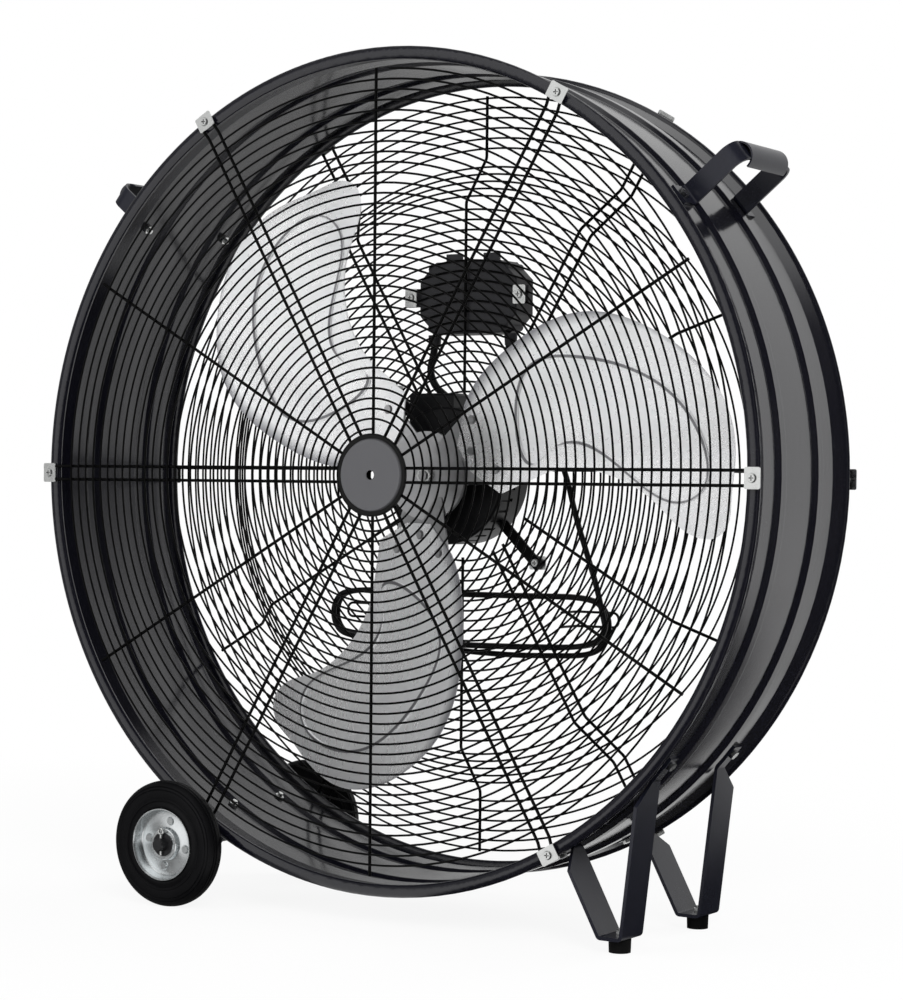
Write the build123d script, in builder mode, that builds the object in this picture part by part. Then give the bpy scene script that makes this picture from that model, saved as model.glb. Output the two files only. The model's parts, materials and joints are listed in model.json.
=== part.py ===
"""Drum fan on two wheels and two feet.

The origin is on the floor under the middle of the drum. X runs to the right as seen from the
front, Y from the front to the back, Z up. All sizes are in millimetres.
"""
from build123d import *
import math
import os

os.makedirs("parts", exist_ok=True)

# ---------------------------------------------------------------- driving dimensions
# drum
body_radius = 471.0  # outside of the drum's sheet
rim_rise = 9.0  # the rolled rims stand out this much
drum_depth = 228.0  # between the planes of the two rims
axis_height = 514.0  # drum axis above the floor
sheet = 1.5  # drum wall
roll_radial = 7.5  # half sizes of the rolled rim's oval section
roll_axial = 5.5
flare_length = 26.0  # sheet spreads towards the rim over this length
flare_rise = 5.5
bead_start = 54.0  # swage beads, from the nearer rim plane
bead_width = 26.0
bead_ramp = 6.0
bead_height = 4.5
sheet_bend = 3.0

# guards
ring_wire = 1.25  # wire radii
spoke_wire = 1.8
weld_sink = 0.15  # how far a ring wire is melted into a spoke
front_ring_pitch = 11.5
front_ring_start = 52.0  # inner end of the front guard's spiral
front_ring_turns = 35
front_spoke_start = 26.0
guard_recess = 1.75  # front spokes lie this much behind the front of the rim
pair_spacing = 16.0  # between the two wires of a doubled spoke
spoke_count = 6
spoke_overrun = 2.0  # single spokes end this far past the outermost ring
clip_inset = 5.0  # middle of a clip, from the outside of the rim
rear_dish_radius = 326.0  # the rear guard's middle is flat out to here
rear_dish_rise = 56.0  # radial length of the slanted part
rear_dish_depth = 190.0  # plane of the middle, from the front rim
rear_ring_start = 101.0
rear_ring_pitch = 12.0
rear_spoke_start = 97.0
rear_ring_last = 454.0

# guard clips and screws
clip_radial = 18.0
clip_tangential = 23.0
clip_sheet = 1.2
clip_screw_radius = 2.5
clip_screw_length = 12.0
pan_head_radius = 5.0
pan_head_height = 2.4
recess_width = 1.2  # cross recess of the screws
recess_length = 5.6

# centre disc of the front guard
disc_radius = 47.0
disc_face_radius = 40.0
disc_height = 4.5
disc_sheet = 1.5
disc_hole_radius = 5.5
backplate_radius = 42.0

# fan
blade_count = 3
first_blade_angle = 270.0
blade_sheet = 2.0
blade_depth = 109.6  # depth of the blades' surface where it would meet the axis
blade_pitch = 0.099  # forward rise per mm towards the leading edge
blade_cone = 0.068  # forward rise per mm outwards
blade_twist = 0.00031  # gain of the pitch per mm outwards
rib_width = 5.0
rib_height = 1.6
spider_sheet = 3.0
spider_radius = 52.0
spider_reach = 112.0
spider_boss_radius = 22.0
spider_boss_length = 20.0
rivet_radius = 3.0
rivet_head_radius = 5.5
rivet_head_height = 2.2

# motor
shaft_radius = 7.5
thread_radius = 5.9
shaft_front = 99.0  # from the front rim plane
hub_face = 107.6
nut_height = 6.6
nut_width = 19.0
motor_radius = 81.0
motor_front = 145.0
motor_back = 208.0
bell_sheet = 8.0
bore_radius = 66.0  # of the motor housing
rotor_radius = 47.6
air_gap = 0.4
core_length = 20.0
bearing_radius = 17.5
bearing_width = 11.0
bearing_wall = 4.5
winding_length = 7.0
winding_height = 11.2
fin_count = 36
fin_depth = 2.0

# X mount of the motor
bar_width = 13.0
bar_sheet = 3.0
bar_end = 151.0
mount_angles = (45, 135, 225, 315)

# switch box
box_width = 135.0
box_height = 86.0
box_low = 170.0  # above the drum axis
box_depth = 37.0
box_corner = 22.0
box_wall = 2.5
cover_sheet = 3.0
knob_radius = 19.0
knob_height = 18.0
spindle_radius = 3.0
knob_gap = 1.0
gland_radius = 8.0
gland_length = 14.0
clamp_width = 16.0
clamp_height = 22.0
clamp_sheet = 1.6
screw_edge = 8.0  # cover screws, from the box's upper and lower sides
cover_screw_radius = 1.5
cover_screw_length = 12.0
cover_head_radius = 3.2
cover_head_height = 2.0
cover_recess_width = 0.8
cover_recess_length = 3.6
switch_size = 34.0
switch_depth = 20.0
switch_bore = 12.0  # depth of the spindle's bore in the switch
switch_tag_length = 7.0
knob_skirt = 6.0
knob_bar = 11.0  # width of the part that the fingers turn
knob_roof = 5.0  # solid plastic over the end of the spindle
capacitor_radius = 15.0
capacitor_length = 58.0
capacitor_x = 28.0
capacitor_lift = 12.0  # above the box's underside

# power cord and motor cable
cord_radius = 3.4
cable_radius = 4.5
hank_turns = 2
hank_half_length = 190.0
hank_top = -140.0  # heights from the drum axis
hank_bottom = -199.0
hank_sag = 4.0
hank_centre = -4.0
tail_drop = 10.0  # the loose end hangs this much lower than the loops
tail_turn_x = -45.0  # where the loose end turns down
tie_x = -32.0
tie_width = 12.0
tie_sheet = 1.2
cord_clearance = 2.0  # from the rear guard's rings
layer_gap = 1.3  # between strands that lie one behind the other
plug_radius = 17.0
plug_length = 42.0
plug_neck = 14.0  # lengths along the plug, from the cord
plug_shoulder = 22.0
plug_body_radius = 14.0
plug_flat = 12.0  # thickness of the two wings
pin_radius = 2.4
pin_length = 19.0
pin_spacing = 19.0

# cord hooks
hook_wire = 1.5
hook_root = 135.0
hook_tip = 192.0
hook_upper = -158.5
hook_lower = -175.5
hook_depth = 34.0
hook_bend = 7.5

# handles
handle_angle = 39.4
handle_width = 25.0
handle_sheet = 3.0
handle_span = 124.0  # between the outer faces of the two legs
handle_reach = 83.0  # outside of the grip, from the drum's sheet
handle_foot = 24.0  # length of a foot
handle_bend = 16.0
foot_bend = 5.0
grip_radius = 16.0
grip_sheet = 2.0

# bolts through the drum
bolt_inset = 38.0  # from the rim planes
bolt_radius = 3.0
bolt_head_width = 10.0
bolt_head_height = 4.0
nut_thickness = 5.0
bolt_end = 9.0  # shank inside the drum
hole_clearance = 0.2
seat_gap = 0.05

# V feet
foot_width = 48.0
foot_sheet = 4.0
foot_outer_edge = -3.0  # of the strap, from the rim plane
foot_flat_right = 324.0
foot_flat_left = 297.0
foot_corner = 4.0
right_tab_angle = -40.6
left_tab_angle = -61.4
tab_to_bend = 24.0
tab_end = 10.0
tab_width = 17.0
strap_cut = 26.0  # length of the slanted corner
pad_radius = 12.0
pad_height = 15.0
pad_x = 311.0
pad_screw_radius = 2.5

# wheels
wheel_radius = 75.0
wheel_x = -272.0
wheel_gap = 14.5  # from the rim plane to the tyre's inner side
tyre_width = 29.0
tyre_inner_radius = 42.0
tyre_round = 9.0
tread_grooves = 3
axle_radius = 7.5
bush_radius = 11.0
hub_radius = 14.0
running_clearance = 0.06
axle_shoulder = 2.0  # the axle is thicker between the wheels by this much
hub_length = 23.5
axle_overhang = 8.0
washer_radius = 14.0
washer_sheet = 1.6
pin_wire = 1.4
bracket_width = 44.0
bracket_sheet = 4.0

# ---------------------------------------------------------------- places and helpers
front_y = -drum_depth / 2
rear_y = drum_depth / 2
rim_radius = body_radius + rim_rise
flare_radius = body_radius + flare_rise
clip_radius = rim_radius - clip_inset
drum_axis = Axis((0, 0, axis_height), (0, 1, 0))
profile_plane = Plane.XY.offset(axis_height)  # x is the radius, y the depth
roll_radius = rim_radius - roll_radial
front_face = front_y - roll_axial
rear_face = rear_y + roll_axial
bead_end = bead_start + bead_width
front_spoke_y = front_y - roll_axial + guard_recess
front_clip_y = front_face - 2 * spoke_wire
front_ring_y = front_spoke_y - spoke_wire - ring_wire + weld_sink
rear_spoke_y = rear_face + spoke_wire
rear_clip_y = rear_face + 2 * spoke_wire
dish_y = front_y + rear_dish_depth
weld_offset = spoke_wire + ring_wire - weld_sink
guard_back = dish_y + weld_offset + ring_wire  # rear side of the rear guard's middle


def facing_front(depth):
    """Plane across the drum axis: x to the right, y up, normal to the front."""
    return Plane(origin=(0, depth, axis_height), x_dir=(1, 0, 0), z_dir=(0, -1, 0))


def facing_rear(depth):
    """Plane across the drum axis whose normal points to the back: x to the left, y up."""
    return Plane(origin=(0, depth, axis_height), x_dir=(-1, 0, 0), z_dir=(0, 1, 0))


def polar(radius, degrees):
    """Point of a circle about the drum axis, in a plane that faces the front."""
    angle = math.radians(degrees)
    return (radius * math.cos(angle), radius * math.sin(angle))


def radial_plane(radius, degrees, depth):
    """Plane that lies on the drum: x to the back, y counter-clockwise, normal outwards."""
    x, z = polar(1, degrees)
    return Plane(origin=(radius * x, depth, axis_height + radius * z), x_dir=(0, 1, 0), z_dir=(x, 0, z))


def spoke_plane(degrees, shift=0.0):
    """Plane through a spoke: x outwards, y to the back, moved sideways by shift."""
    x, z = polar(1, degrees)
    origin = (-shift * z, 0, axis_height + shift * x)
    return Plane(origin=origin, x_dir=(x, 0, z), z_dir=(-z, 0, x))


def arc_radii(points):
    """The largest tangent arcs that a route of straight runs allows at its inner points."""
    vectors = [Vector(*point) for point in points]
    radii = []
    for before, here, after in zip(vectors, vectors[1:], vectors[2:]):
        arriving = here - before
        leaving = after - here
        half_turn = math.radians(arriving.get_angle(leaving)) / 2
        shorter = min(arriving.length, leaving.length)
        radii.append(0.45 * shorter / math.tan(half_turn))
    return radii


def section_at(path):
    """Plane across the start of a path."""
    return Plane(origin=path @ 0, z_dir=path % 0)


def ring_section():
    """Section of a ring wire: eight flats about the round wire, two of them across the drum axis."""
    return RegularPolygon(ring_wire, 8, major_radius=False, rotation=22.5)


def finish(part, name):
    """Label a finished piece and write its file."""
    part.label = name
    export_step(part, f"parts/{name}.step")


# ---------------------------------------------------------------- drum
def drum_line(inset):
    """Half section of the sheet from rim to rim, moved inwards by inset."""
    near_rim = [
        (flare_radius - inset, front_y + 4),
        (body_radius - inset, front_y + flare_length),
        (body_radius - inset, front_y + bead_start),
        (body_radius + bead_height - inset, front_y + bead_start + bead_ramp),
        (body_radius + bead_height - inset, front_y + bead_end - bead_ramp),
        (body_radius - inset, front_y + bead_end),
    ]
    far_rim = [(radius, -depth) for radius, depth in reversed(near_rim)]
    return FilletPolyline(*near_rim, *far_rim, radius=sheet_bend)


handle_bolts = [
    radial_plane(body_radius + handle_sheet, angle, side * (rear_y - bolt_inset))
    for angle in (handle_angle, 180 - handle_angle)
    for side in (-1, 1)
]
foot_bolts = [
    radial_plane(body_radius + foot_sheet, angle, side * (rear_y - bolt_inset))
    for angle in (right_tab_angle, left_tab_angle)
    for side in (-1, 1)
]
axle_angle = math.degrees(math.atan2(wheel_radius - axis_height, wheel_x))
axle_distance = math.hypot(wheel_radius - axis_height, wheel_x)
bead_middle = rear_y - bead_start - bead_width / 2
bead_top = body_radius + bead_height
bracket_bolts = [
    radial_plane(bead_top + bracket_sheet, axle_angle, side * bead_middle) for side in (-1, 1)
]
clip_points = [polar(clip_radius, 360 / spoke_count * n) for n in range(spoke_count)]

with BuildPart() as drum_shell:
    with BuildSketch(profile_plane):
        with BuildLine():
            outer = drum_line(0)
            inner = drum_line(sheet)
            Line(outer @ 0, inner @ 0)
            Line(outer @ 1, inner @ 1)
        make_face()
        with Locations((roll_radius, front_y), (roll_radius, rear_y)):
            Ellipse(roll_radial, roll_axial)
            Ellipse(roll_radial - sheet, roll_axial - sheet, mode=Mode.SUBTRACT)
    revolve(axis=drum_axis)
    with Locations(*[Location(plane) for plane in handle_bolts + foot_bolts + bracket_bolts]):
        Cylinder(bolt_radius + hole_clearance, 30, mode=Mode.SUBTRACT)
    for face_plane in (facing_front(front_face), facing_rear(rear_face)):
        with BuildSketch(face_plane):
            with Locations(*clip_points):
                Circle(clip_screw_radius + hole_clearance)
        extrude(amount=-3 * sheet, mode=Mode.SUBTRACT)
finish(drum_shell.part, "drum_shell")

# ---------------------------------------------------------------- front guard
pair_angles = [360 / spoke_count * n for n in range(spoke_count)]
single_angles = [angle + 180 / spoke_count for angle in pair_angles]
spiral_end = front_ring_start + front_ring_pitch * front_ring_turns

with BuildPart() as front_guard_rings:
    # half circles whose centres alternate, so that the wire winds out evenly
    with BuildLine(facing_front(front_ring_y)) as spiral:
        top = front_ring_start
        for half in range(front_ring_turns):
            left_radius = front_ring_start + half * front_ring_pitch
            CenterArc((0, top - left_radius), left_radius, 90, 180)
            right_radius = left_radius + front_ring_pitch / 2
            bottom = top - 2 * left_radius
            CenterArc((0, bottom + right_radius), right_radius, 270, 180)
            top = bottom + 2 * right_radius
    spiral_wire = spiral.wire()
    with BuildSketch(section_at(spiral_wire)):
        ring_section()
    sweep(path=spiral_wire)
finish(front_guard_rings.part, "front_guard_rings")

with BuildPart() as front_guard_spokes:
    joggle_y = front_clip_y + spoke_wire
    for angle in pair_angles:
        for shift in (-pair_spacing / 2, pair_spacing / 2):
            with BuildLine(spoke_plane(angle, shift)) as spoke:
                FilletPolyline(
                    (front_spoke_start, front_spoke_y),
                    (spiral_end + 2, front_spoke_y),
                    (clip_radius - clip_radial / 2, joggle_y),
                    (rim_radius - 2, joggle_y),
                    radius=8,
                )
            with BuildSketch(section_at(spoke.wire())):
                Circle(spoke_wire)
            sweep(path=spoke.wire())
    for angle in single_angles:
        with BuildLine(spoke_plane(angle)) as spoke:
            Line((front_spoke_start, front_spoke_y), (spiral_end + spoke_overrun, front_spoke_y))
        with BuildSketch(section_at(spoke.wire())):
            Circle(spoke_wire)
        sweep(path=spoke.wire())
finish(front_guard_spokes.part, "front_guard_spokes")

with BuildPart() as front_guard_disc:
    disc_back = front_spoke_y - spoke_wire - seat_gap
    face_back = disc_back - disc_height + disc_sheet
    with BuildSketch(profile_plane):
        with BuildLine():
            dish = FilletPolyline(
                (disc_hole_radius, disc_back - disc_height),
                (disc_face_radius, disc_back - disc_height),
                (disc_face_radius + 1.5, disc_back - disc_sheet),
                (disc_radius - 1.5, disc_back - disc_sheet),
                (disc_radius, disc_back - disc_sheet - 1.2),
                radius=0.5,
            )
            Line(dish @ 1, (disc_radius, disc_back))
            Line((disc_radius, disc_back), (disc_face_radius - 1, disc_back))
            Line((disc_face_radius - 1, disc_back), (disc_face_radius - 2, face_back))
            Line(
                (disc_face_radius - 2, face_back),
                (disc_hole_radius, face_back),
            )
            Line((disc_hole_radius, face_back), dish @ 0)
        make_face()
    revolve(axis=drum_axis)
finish(front_guard_disc.part, "front_guard_disc")

with BuildPart() as front_guard_backplate:
    with BuildSketch(facing_rear(front_spoke_y + spoke_wire + seat_gap)):
        Circle(backplate_radius)
        Circle(disc_hole_radius, mode=Mode.SUBTRACT)
    extrude(amount=disc_sheet)
finish(front_guard_backplate.part, "front_guard_backplate")

# ---------------------------------------------------------------- rear guard
rim_dish_radius = rear_dish_radius + rear_dish_rise
slant = Vector(rear_dish_rise, rear_spoke_y - dish_y)
slant_length = slant.length
slant_dir = slant.normalized()


def rear_ring_stations():
    """Radius and depth of each ring wire, on the back of the spokes."""
    stations = []
    radius = rear_ring_start
    while radius < rear_dish_radius - rear_ring_pitch / 2:
        stations.append((radius, dish_y + weld_offset))
        radius += rear_ring_pitch
    along = rear_ring_pitch
    while along < slant_length - rear_ring_pitch / 2:
        place = Vector(rear_dish_radius, dish_y) + slant_dir * along
        stations.append((place.X - slant_dir.Y * weld_offset, place.Y + slant_dir.X * weld_offset))
        along += rear_ring_pitch
    radius = rear_ring_last
    while radius > rim_dish_radius + rear_ring_pitch / 2:
        stations.append((radius, rear_spoke_y + weld_offset))
        radius -= rear_ring_pitch
    return stations


with BuildPart() as rear_guard_rings:
    with BuildSketch(profile_plane):
        with Locations(*rear_ring_stations()):
            ring_section()
    revolve(axis=drum_axis)
finish(rear_guard_rings.part, "rear_guard_rings")

with BuildPart() as rear_guard_spokes:
    rear_spokes = [
        (angle, side * pair_spacing / 2, rim_radius - 2) for angle in pair_angles for side in (-1, 1)
    ]
    rear_spokes += [(angle, 0, rear_ring_last + spoke_overrun) for angle in single_angles]
    for angle, shift, end in rear_spokes:
        with BuildLine(spoke_plane(angle, shift)) as spoke:
            FilletPolyline(
                (rear_spoke_start, dish_y),
                (rear_dish_radius, dish_y),
                (rim_dish_radius, rear_spoke_y),
                (end, rear_spoke_y),
                radius=10,
            )
        with BuildSketch(section_at(spoke.wire())):
            Circle(spoke_wire)
        sweep(path=spoke.wire())
finish(rear_guard_spokes.part, "rear_guard_spokes")

# ---------------------------------------------------------------- clips and screws of both guards
with BuildPart() as guard_clips:
    for face_plane in (facing_front(front_clip_y), facing_rear(rear_clip_y)):
        with BuildSketch(face_plane.offset(seat_gap)):
            for n in range(spoke_count):
                angle = 360 / spoke_count * n
                with Locations(Location((*polar(clip_radius, angle), 0), (0, 0, angle))):
                    RectangleRounded(clip_radial, clip_tangential, 2)
                    Circle(clip_screw_radius + hole_clearance, mode=Mode.SUBTRACT)
        extrude(amount=clip_sheet)
finish(guard_clips.part, "guard_clips")

with BuildPart() as clip_screws:
    for face_plane in (facing_front(front_clip_y), facing_rear(rear_clip_y)):
        head_seat = face_plane.offset(2 * seat_gap + clip_sheet)
        with BuildSketch(head_seat):
            with Locations(*clip_points):
                Circle(pan_head_radius)
        extrude(amount=pan_head_height, taper=20)
        with BuildSketch(head_seat):
            with Locations(*clip_points):
                Circle(clip_screw_radius)
        extrude(amount=-clip_screw_length)
        with BuildSketch(head_seat.offset(pan_head_height)):
            with Locations(*clip_points):
                Rectangle(recess_width, recess_length)
                Rectangle(recess_length, recess_width)
        extrude(amount=-1.4, mode=Mode.SUBTRACT)
finish(clip_screws.part, "clip_screws")

# ---------------------------------------------------------------- fan
blade_root_y = front_y + blade_depth
blade_angles = [first_blade_angle + 360 / blade_count * n for n in range(blade_count)]
blade_names = ["blade_lower", "blade_upper_right", "blade_upper_left"]
blade_inner = 20.0
blade_outer = 420.0
blade_sides = (-270.0, 110.0)
blade_edge = [
    (91, 42),
    (128, 58),
    (182, 65),
    (240, 62),
    (297, 40),
    (340, -4),
    (368, -60),
    (374, -120),
    (350, -176),
    (320, -212),
    (298, -235),
    (280, -238),
    (258, -222),
    (240, -170),
    (214, -124),
    (167, -86),
    (126, -74),
]
blade_root = [(76, -67), (55, -26), (56, 8)]
rib_loop = [(143, -61), (215, -98), (274, -190), (294, -190), (333, -110), (302, -34), (245, 17), (165, 24)]
rivet_places = [(69, -6), (90, 23), (86, -40)]


def blade_plane(angle):
    """Plane of a blade: x outwards, y towards the leading edge, normal to the front."""
    x, z = polar(1, angle)
    return Plane(origin=(0, blade_root_y, axis_height), x_dir=(x, 0, z), z_dir=(0, -1, 0))


def blade_rise(outwards, sideways):
    """How far the blade's middle surface stands in front of its plane."""
    return blade_cone * outwards + sideways * (blade_pitch + blade_twist * outwards)


def blade_sections(plane, low, high):
    """Inner and outer section of a sheet between two offsets from the twisted blade surface."""
    sections = []
    left, right = blade_sides
    for outwards in (blade_inner, blade_outer):
        origin = plane.from_local_coords((outwards, 0, 0))
        with BuildSketch(Plane(origin=origin, x_dir=plane.y_dir, z_dir=plane.x_dir)) as section:
            with BuildLine():
                Polyline(
                    (left, blade_rise(outwards, left) + low),
                    (right, blade_rise(outwards, right) + low),
                    (right, blade_rise(outwards, right) + high),
                    (left, blade_rise(outwards, left) + high),
                    close=True,
                )
            make_face()
        sections.append(section.sketch)
    return sections


def moved_inwards(points, distance):
    """Points of a counter-clockwise loop, each moved inwards."""
    moved = []
    for before, here, after in zip(points[-1:] + points[:-1], points, points[1:] + points[:1]):
        chord = Vector(*after) - Vector(*before)
        moved.append(Vector(*here) + Vector(-chord.Y, chord.X).normalized() * distance)
    return moved


for angle, name in zip(blade_angles, blade_names):
    plane = blade_plane(angle)
    with BuildPart() as rib:
        loft(blade_sections(plane, blade_sheet / 2 - 0.3, blade_sheet / 2 + rib_height), ruled=True)
        with BuildSketch(plane.offset(-90)):
            with BuildLine():
                Spline(*rib_loop, periodic=True)
            make_face()
            with BuildLine():
                Spline(*moved_inwards(rib_loop, rib_width), periodic=True)
            make_face(mode=Mode.SUBTRACT)
        extrude(amount=180, mode=Mode.INTERSECT)
    with BuildPart() as blade:
        loft(blade_sections(plane, -blade_sheet / 2, blade_sheet / 2), ruled=True)
        with BuildSketch(plane.offset(-90)):
            with BuildLine():
                edge = Spline(*blade_edge)
                Polyline(edge @ 1, *blade_root, edge @ 0)
            make_face()
            with Locations(*rivet_places):
                Circle(rivet_radius + hole_clearance, mode=Mode.SUBTRACT)
        extrude(amount=180, mode=Mode.INTERSECT)
        add(rib.part)
    finish(blade.part, name)

spider_outline = [
    (25, -30),
    (spider_reach - 12, -56),
    (spider_reach, -44),
    (spider_reach, 26),
    (spider_reach - 12, 38),
    (25, 22),
]
rivet_seats = []
for angle in blade_angles:
    plane = blade_plane(angle)
    for outwards, sideways in rivet_places:
        rise = blade_rise(outwards, sideways)
        slope_in = Vector(1, 0, blade_cone + blade_twist * sideways)
        slope_side = Vector(0, 1, blade_pitch + blade_twist * outwards)
        normal = slope_in.cross(slope_side)
        middle = plane.from_local_coords((outwards, sideways, rise))
        rivet_seats.append(Plane(origin=middle, z_dir=plane.from_local_coords(normal) - plane.origin))

arms = []
for angle in blade_angles:
    plane = blade_plane(angle)
    with BuildPart() as arm:
        arm_front = -blade_sheet / 2 - seat_gap
        loft(blade_sections(plane, arm_front - spider_sheet, arm_front), ruled=True)
        with BuildSketch(plane.offset(-90)):
            with BuildLine():
                Polyline(*spider_outline, close=True)
            make_face()
        extrude(amount=180, mode=Mode.INTERSECT)
    arms.append(arm.part)

hub_face_y = front_y + hub_face
with BuildPart() as fan_hub:
    add(arms)
    with BuildSketch(facing_front(hub_face_y)):
        Circle(spider_radius)
    extrude(amount=-2 * spider_sheet)
    with BuildSketch(facing_front(hub_face_y)):
        Circle(spider_boss_radius)
    extrude(amount=-spider_boss_length)
    with BuildSketch(facing_front(hub_face_y)):
        Circle(shaft_radius + hole_clearance / 10)
    extrude(amount=-spider_boss_length, mode=Mode.SUBTRACT)
    with Locations(*[Location(seat) for seat in rivet_seats]):
        Cylinder(rivet_radius + hole_clearance / 2, 4 * spider_sheet, mode=Mode.SUBTRACT)
finish(fan_hub.part, "fan_hub")

with BuildPart() as blade_rivets:
    for seat in rivet_seats:
        with BuildSketch(seat.offset(blade_sheet / 2 + seat_gap)):
            Circle(rivet_head_radius)
        extrude(amount=rivet_head_height, taper=35)
        with BuildSketch(seat.offset(blade_sheet / 2 + seat_gap)):
            Circle(rivet_radius)
        extrude(amount=-blade_sheet - spider_sheet - 3 * seat_gap)
        with BuildSketch(seat.offset(-blade_sheet / 2 - spider_sheet - 2 * seat_gap)):
            Circle(rivet_head_radius)
        extrude(amount=-rivet_head_height, taper=35)
finish(blade_rivets.part, "blade_rivets")

# ---------------------------------------------------------------- motor
motor_front_y = front_y + motor_front
motor_back_y = front_y + motor_back
bar_back_y = dish_y + spoke_wire  # the bars lie in the plane of the wires
bar_front_y = bar_back_y - bar_sheet
housing_front_y = motor_front_y + bell_sheet
core_middle_y = (housing_front_y + bar_front_y) / 2
tie_radius = (bore_radius + motor_radius) / 2


def ring(inner_radius, outer_radius, start, end):
    """Rectangle of a ring's section, for a revolve about the drum axis."""
    with Locations(((inner_radius + outer_radius) / 2, (start + end) / 2)):
        return Rectangle(outer_radius - inner_radius, end - start)


with BuildPart() as motor_shaft:
    with BuildSketch(profile_plane):
        ring(0, thread_radius, front_y + shaft_front, hub_face_y)
        ring(0, shaft_radius, hub_face_y, motor_back_y - bell_sheet / 2)
    revolve(axis=drum_axis)
    chamfer(motor_shaft.edges().filter_by(GeomType.CIRCLE).group_by(Axis.Y)[0], 0.8)
finish(motor_shaft.part, "motor_shaft")

with BuildPart() as hub_nut:
    with BuildSketch(facing_front(hub_face_y - seat_gap)):
        RegularPolygon(nut_width / 2, 6, major_radius=False)
        Circle(thread_radius + hole_clearance / 4, mode=Mode.SUBTRACT)
    extrude(amount=nut_height)
    chamfer(hub_nut.faces().sort_by(Axis.Y)[0].outer_wire().edges(), 0.8)
finish(hub_nut.part, "hub_nut")

bearing_front_y = motor_front_y + 2
bearing_rear_y = motor_back_y - 2 - bearing_width
boss_radius = bearing_radius + bearing_wall

with BuildPart() as motor_front_bell:
    with BuildSketch(profile_plane):
        ring(0, motor_radius, motor_front_y, housing_front_y)
        ring(0, boss_radius, motor_front_y, bearing_front_y + bearing_width)
    revolve(axis=drum_axis)
    fillet(motor_front_bell.faces().sort_by(Axis.Y)[0].outer_wire().edges(), 4)
    with BuildSketch(profile_plane):
        ring(0, shaft_radius + 1, motor_front_y - 1, housing_front_y)
        ring(0, bearing_radius, bearing_front_y, bearing_front_y + bearing_width + 1)
    revolve(axis=drum_axis, mode=Mode.SUBTRACT)
finish(motor_front_bell.part, "motor_front_bell")

with BuildPart() as motor_housing:
    with BuildSketch(facing_front(housing_front_y)):
        Circle(motor_radius)
        Circle(bore_radius, mode=Mode.SUBTRACT)
    extrude(amount=housing_front_y - bar_front_y)
    with BuildSketch(facing_front(housing_front_y - 3)):
        with PolarLocations(motor_radius, fin_count):
            Rectangle(2 * fin_depth, 4)
    extrude(amount=housing_front_y - bar_front_y + 9, mode=Mode.SUBTRACT)
    with BuildSketch(facing_rear(bar_front_y)):
        with PolarLocations(tie_radius, 4, start_angle=45):
            Circle(bolt_radius + hole_clearance / 2)
    extrude(amount=-12, mode=Mode.SUBTRACT)
finish(motor_housing.part, "motor_housing")

with BuildPart() as motor_rear_bell:
    with BuildSketch(profile_plane):
        ring(0, motor_radius, bar_front_y + seat_gap, motor_back_y)
    revolve(axis=drum_axis)
    fillet(motor_rear_bell.faces().sort_by(Axis.Y)[-1].outer_wire().edges(), 5)
    with BuildSketch(profile_plane):
        ring(0, bore_radius - 4, bar_front_y, motor_back_y - bell_sheet)
    revolve(axis=drum_axis, mode=Mode.SUBTRACT)
    with BuildSketch(profile_plane):
        ring(0, boss_radius, bearing_rear_y, motor_back_y - bell_sheet)
    revolve(axis=drum_axis)
    with BuildSketch(profile_plane):
        ring(0, shaft_radius + 1, bar_front_y, motor_back_y - 1)
        ring(0, bearing_radius, bearing_rear_y - 1, bearing_rear_y + bearing_width)
    revolve(axis=drum_axis, mode=Mode.SUBTRACT)
    with BuildSketch(facing_rear(bar_front_y)):
        with PolarLocations(motor_radius, 4, start_angle=45):
            Rectangle(2 * (motor_radius - bore_radius + 5), bar_width + 2 * hole_clearance)
    extrude(amount=bar_sheet + seat_gap, mode=Mode.SUBTRACT)
    with BuildSketch(facing_rear(bar_front_y)):
        with PolarLocations(tie_radius, 4, start_angle=45):
            Circle(bolt_radius + hole_clearance)
    extrude(amount=motor_back_y - bar_front_y + 1, mode=Mode.SUBTRACT)
finish(motor_rear_bell.part, "motor_rear_bell")

with BuildPart() as motor_bearings:
    with BuildSketch(profile_plane):
        for start in (bearing_front_y, bearing_rear_y):
            ring(shaft_radius + 0.02, bearing_radius - 0.02, start + seat_gap, start + bearing_width)
    revolve(axis=drum_axis)
finish(motor_bearings.part, "motor_bearings")

core_front_y = core_middle_y - core_length / 2
core_back_y = core_middle_y + core_length / 2
with BuildPart() as stator_core:
    with BuildSketch(profile_plane):
        ring(rotor_radius + air_gap, bore_radius - 0.02, core_front_y, core_back_y)
    revolve(axis=drum_axis)
finish(stator_core.part, "stator_core")

with BuildPart() as stator_windings:
    winding_radius = (rotor_radius + bore_radius) / 2
    for start in (core_front_y - winding_length / 2, core_back_y + winding_length / 2):
        with BuildSketch(profile_plane):
            with Locations((winding_radius, start)):
                RectangleRounded(winding_height, winding_length - 2 * seat_gap, winding_length / 3)
        revolve(axis=drum_axis)
finish(stator_windings.part, "stator_windings")

with BuildPart() as rotor_core:
    with BuildSketch(profile_plane):
        ring(shaft_radius + 0.02, rotor_radius, core_front_y - 1, core_back_y + 1)
    revolve(axis=drum_axis)
finish(rotor_core.part, "rotor_core")

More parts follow.
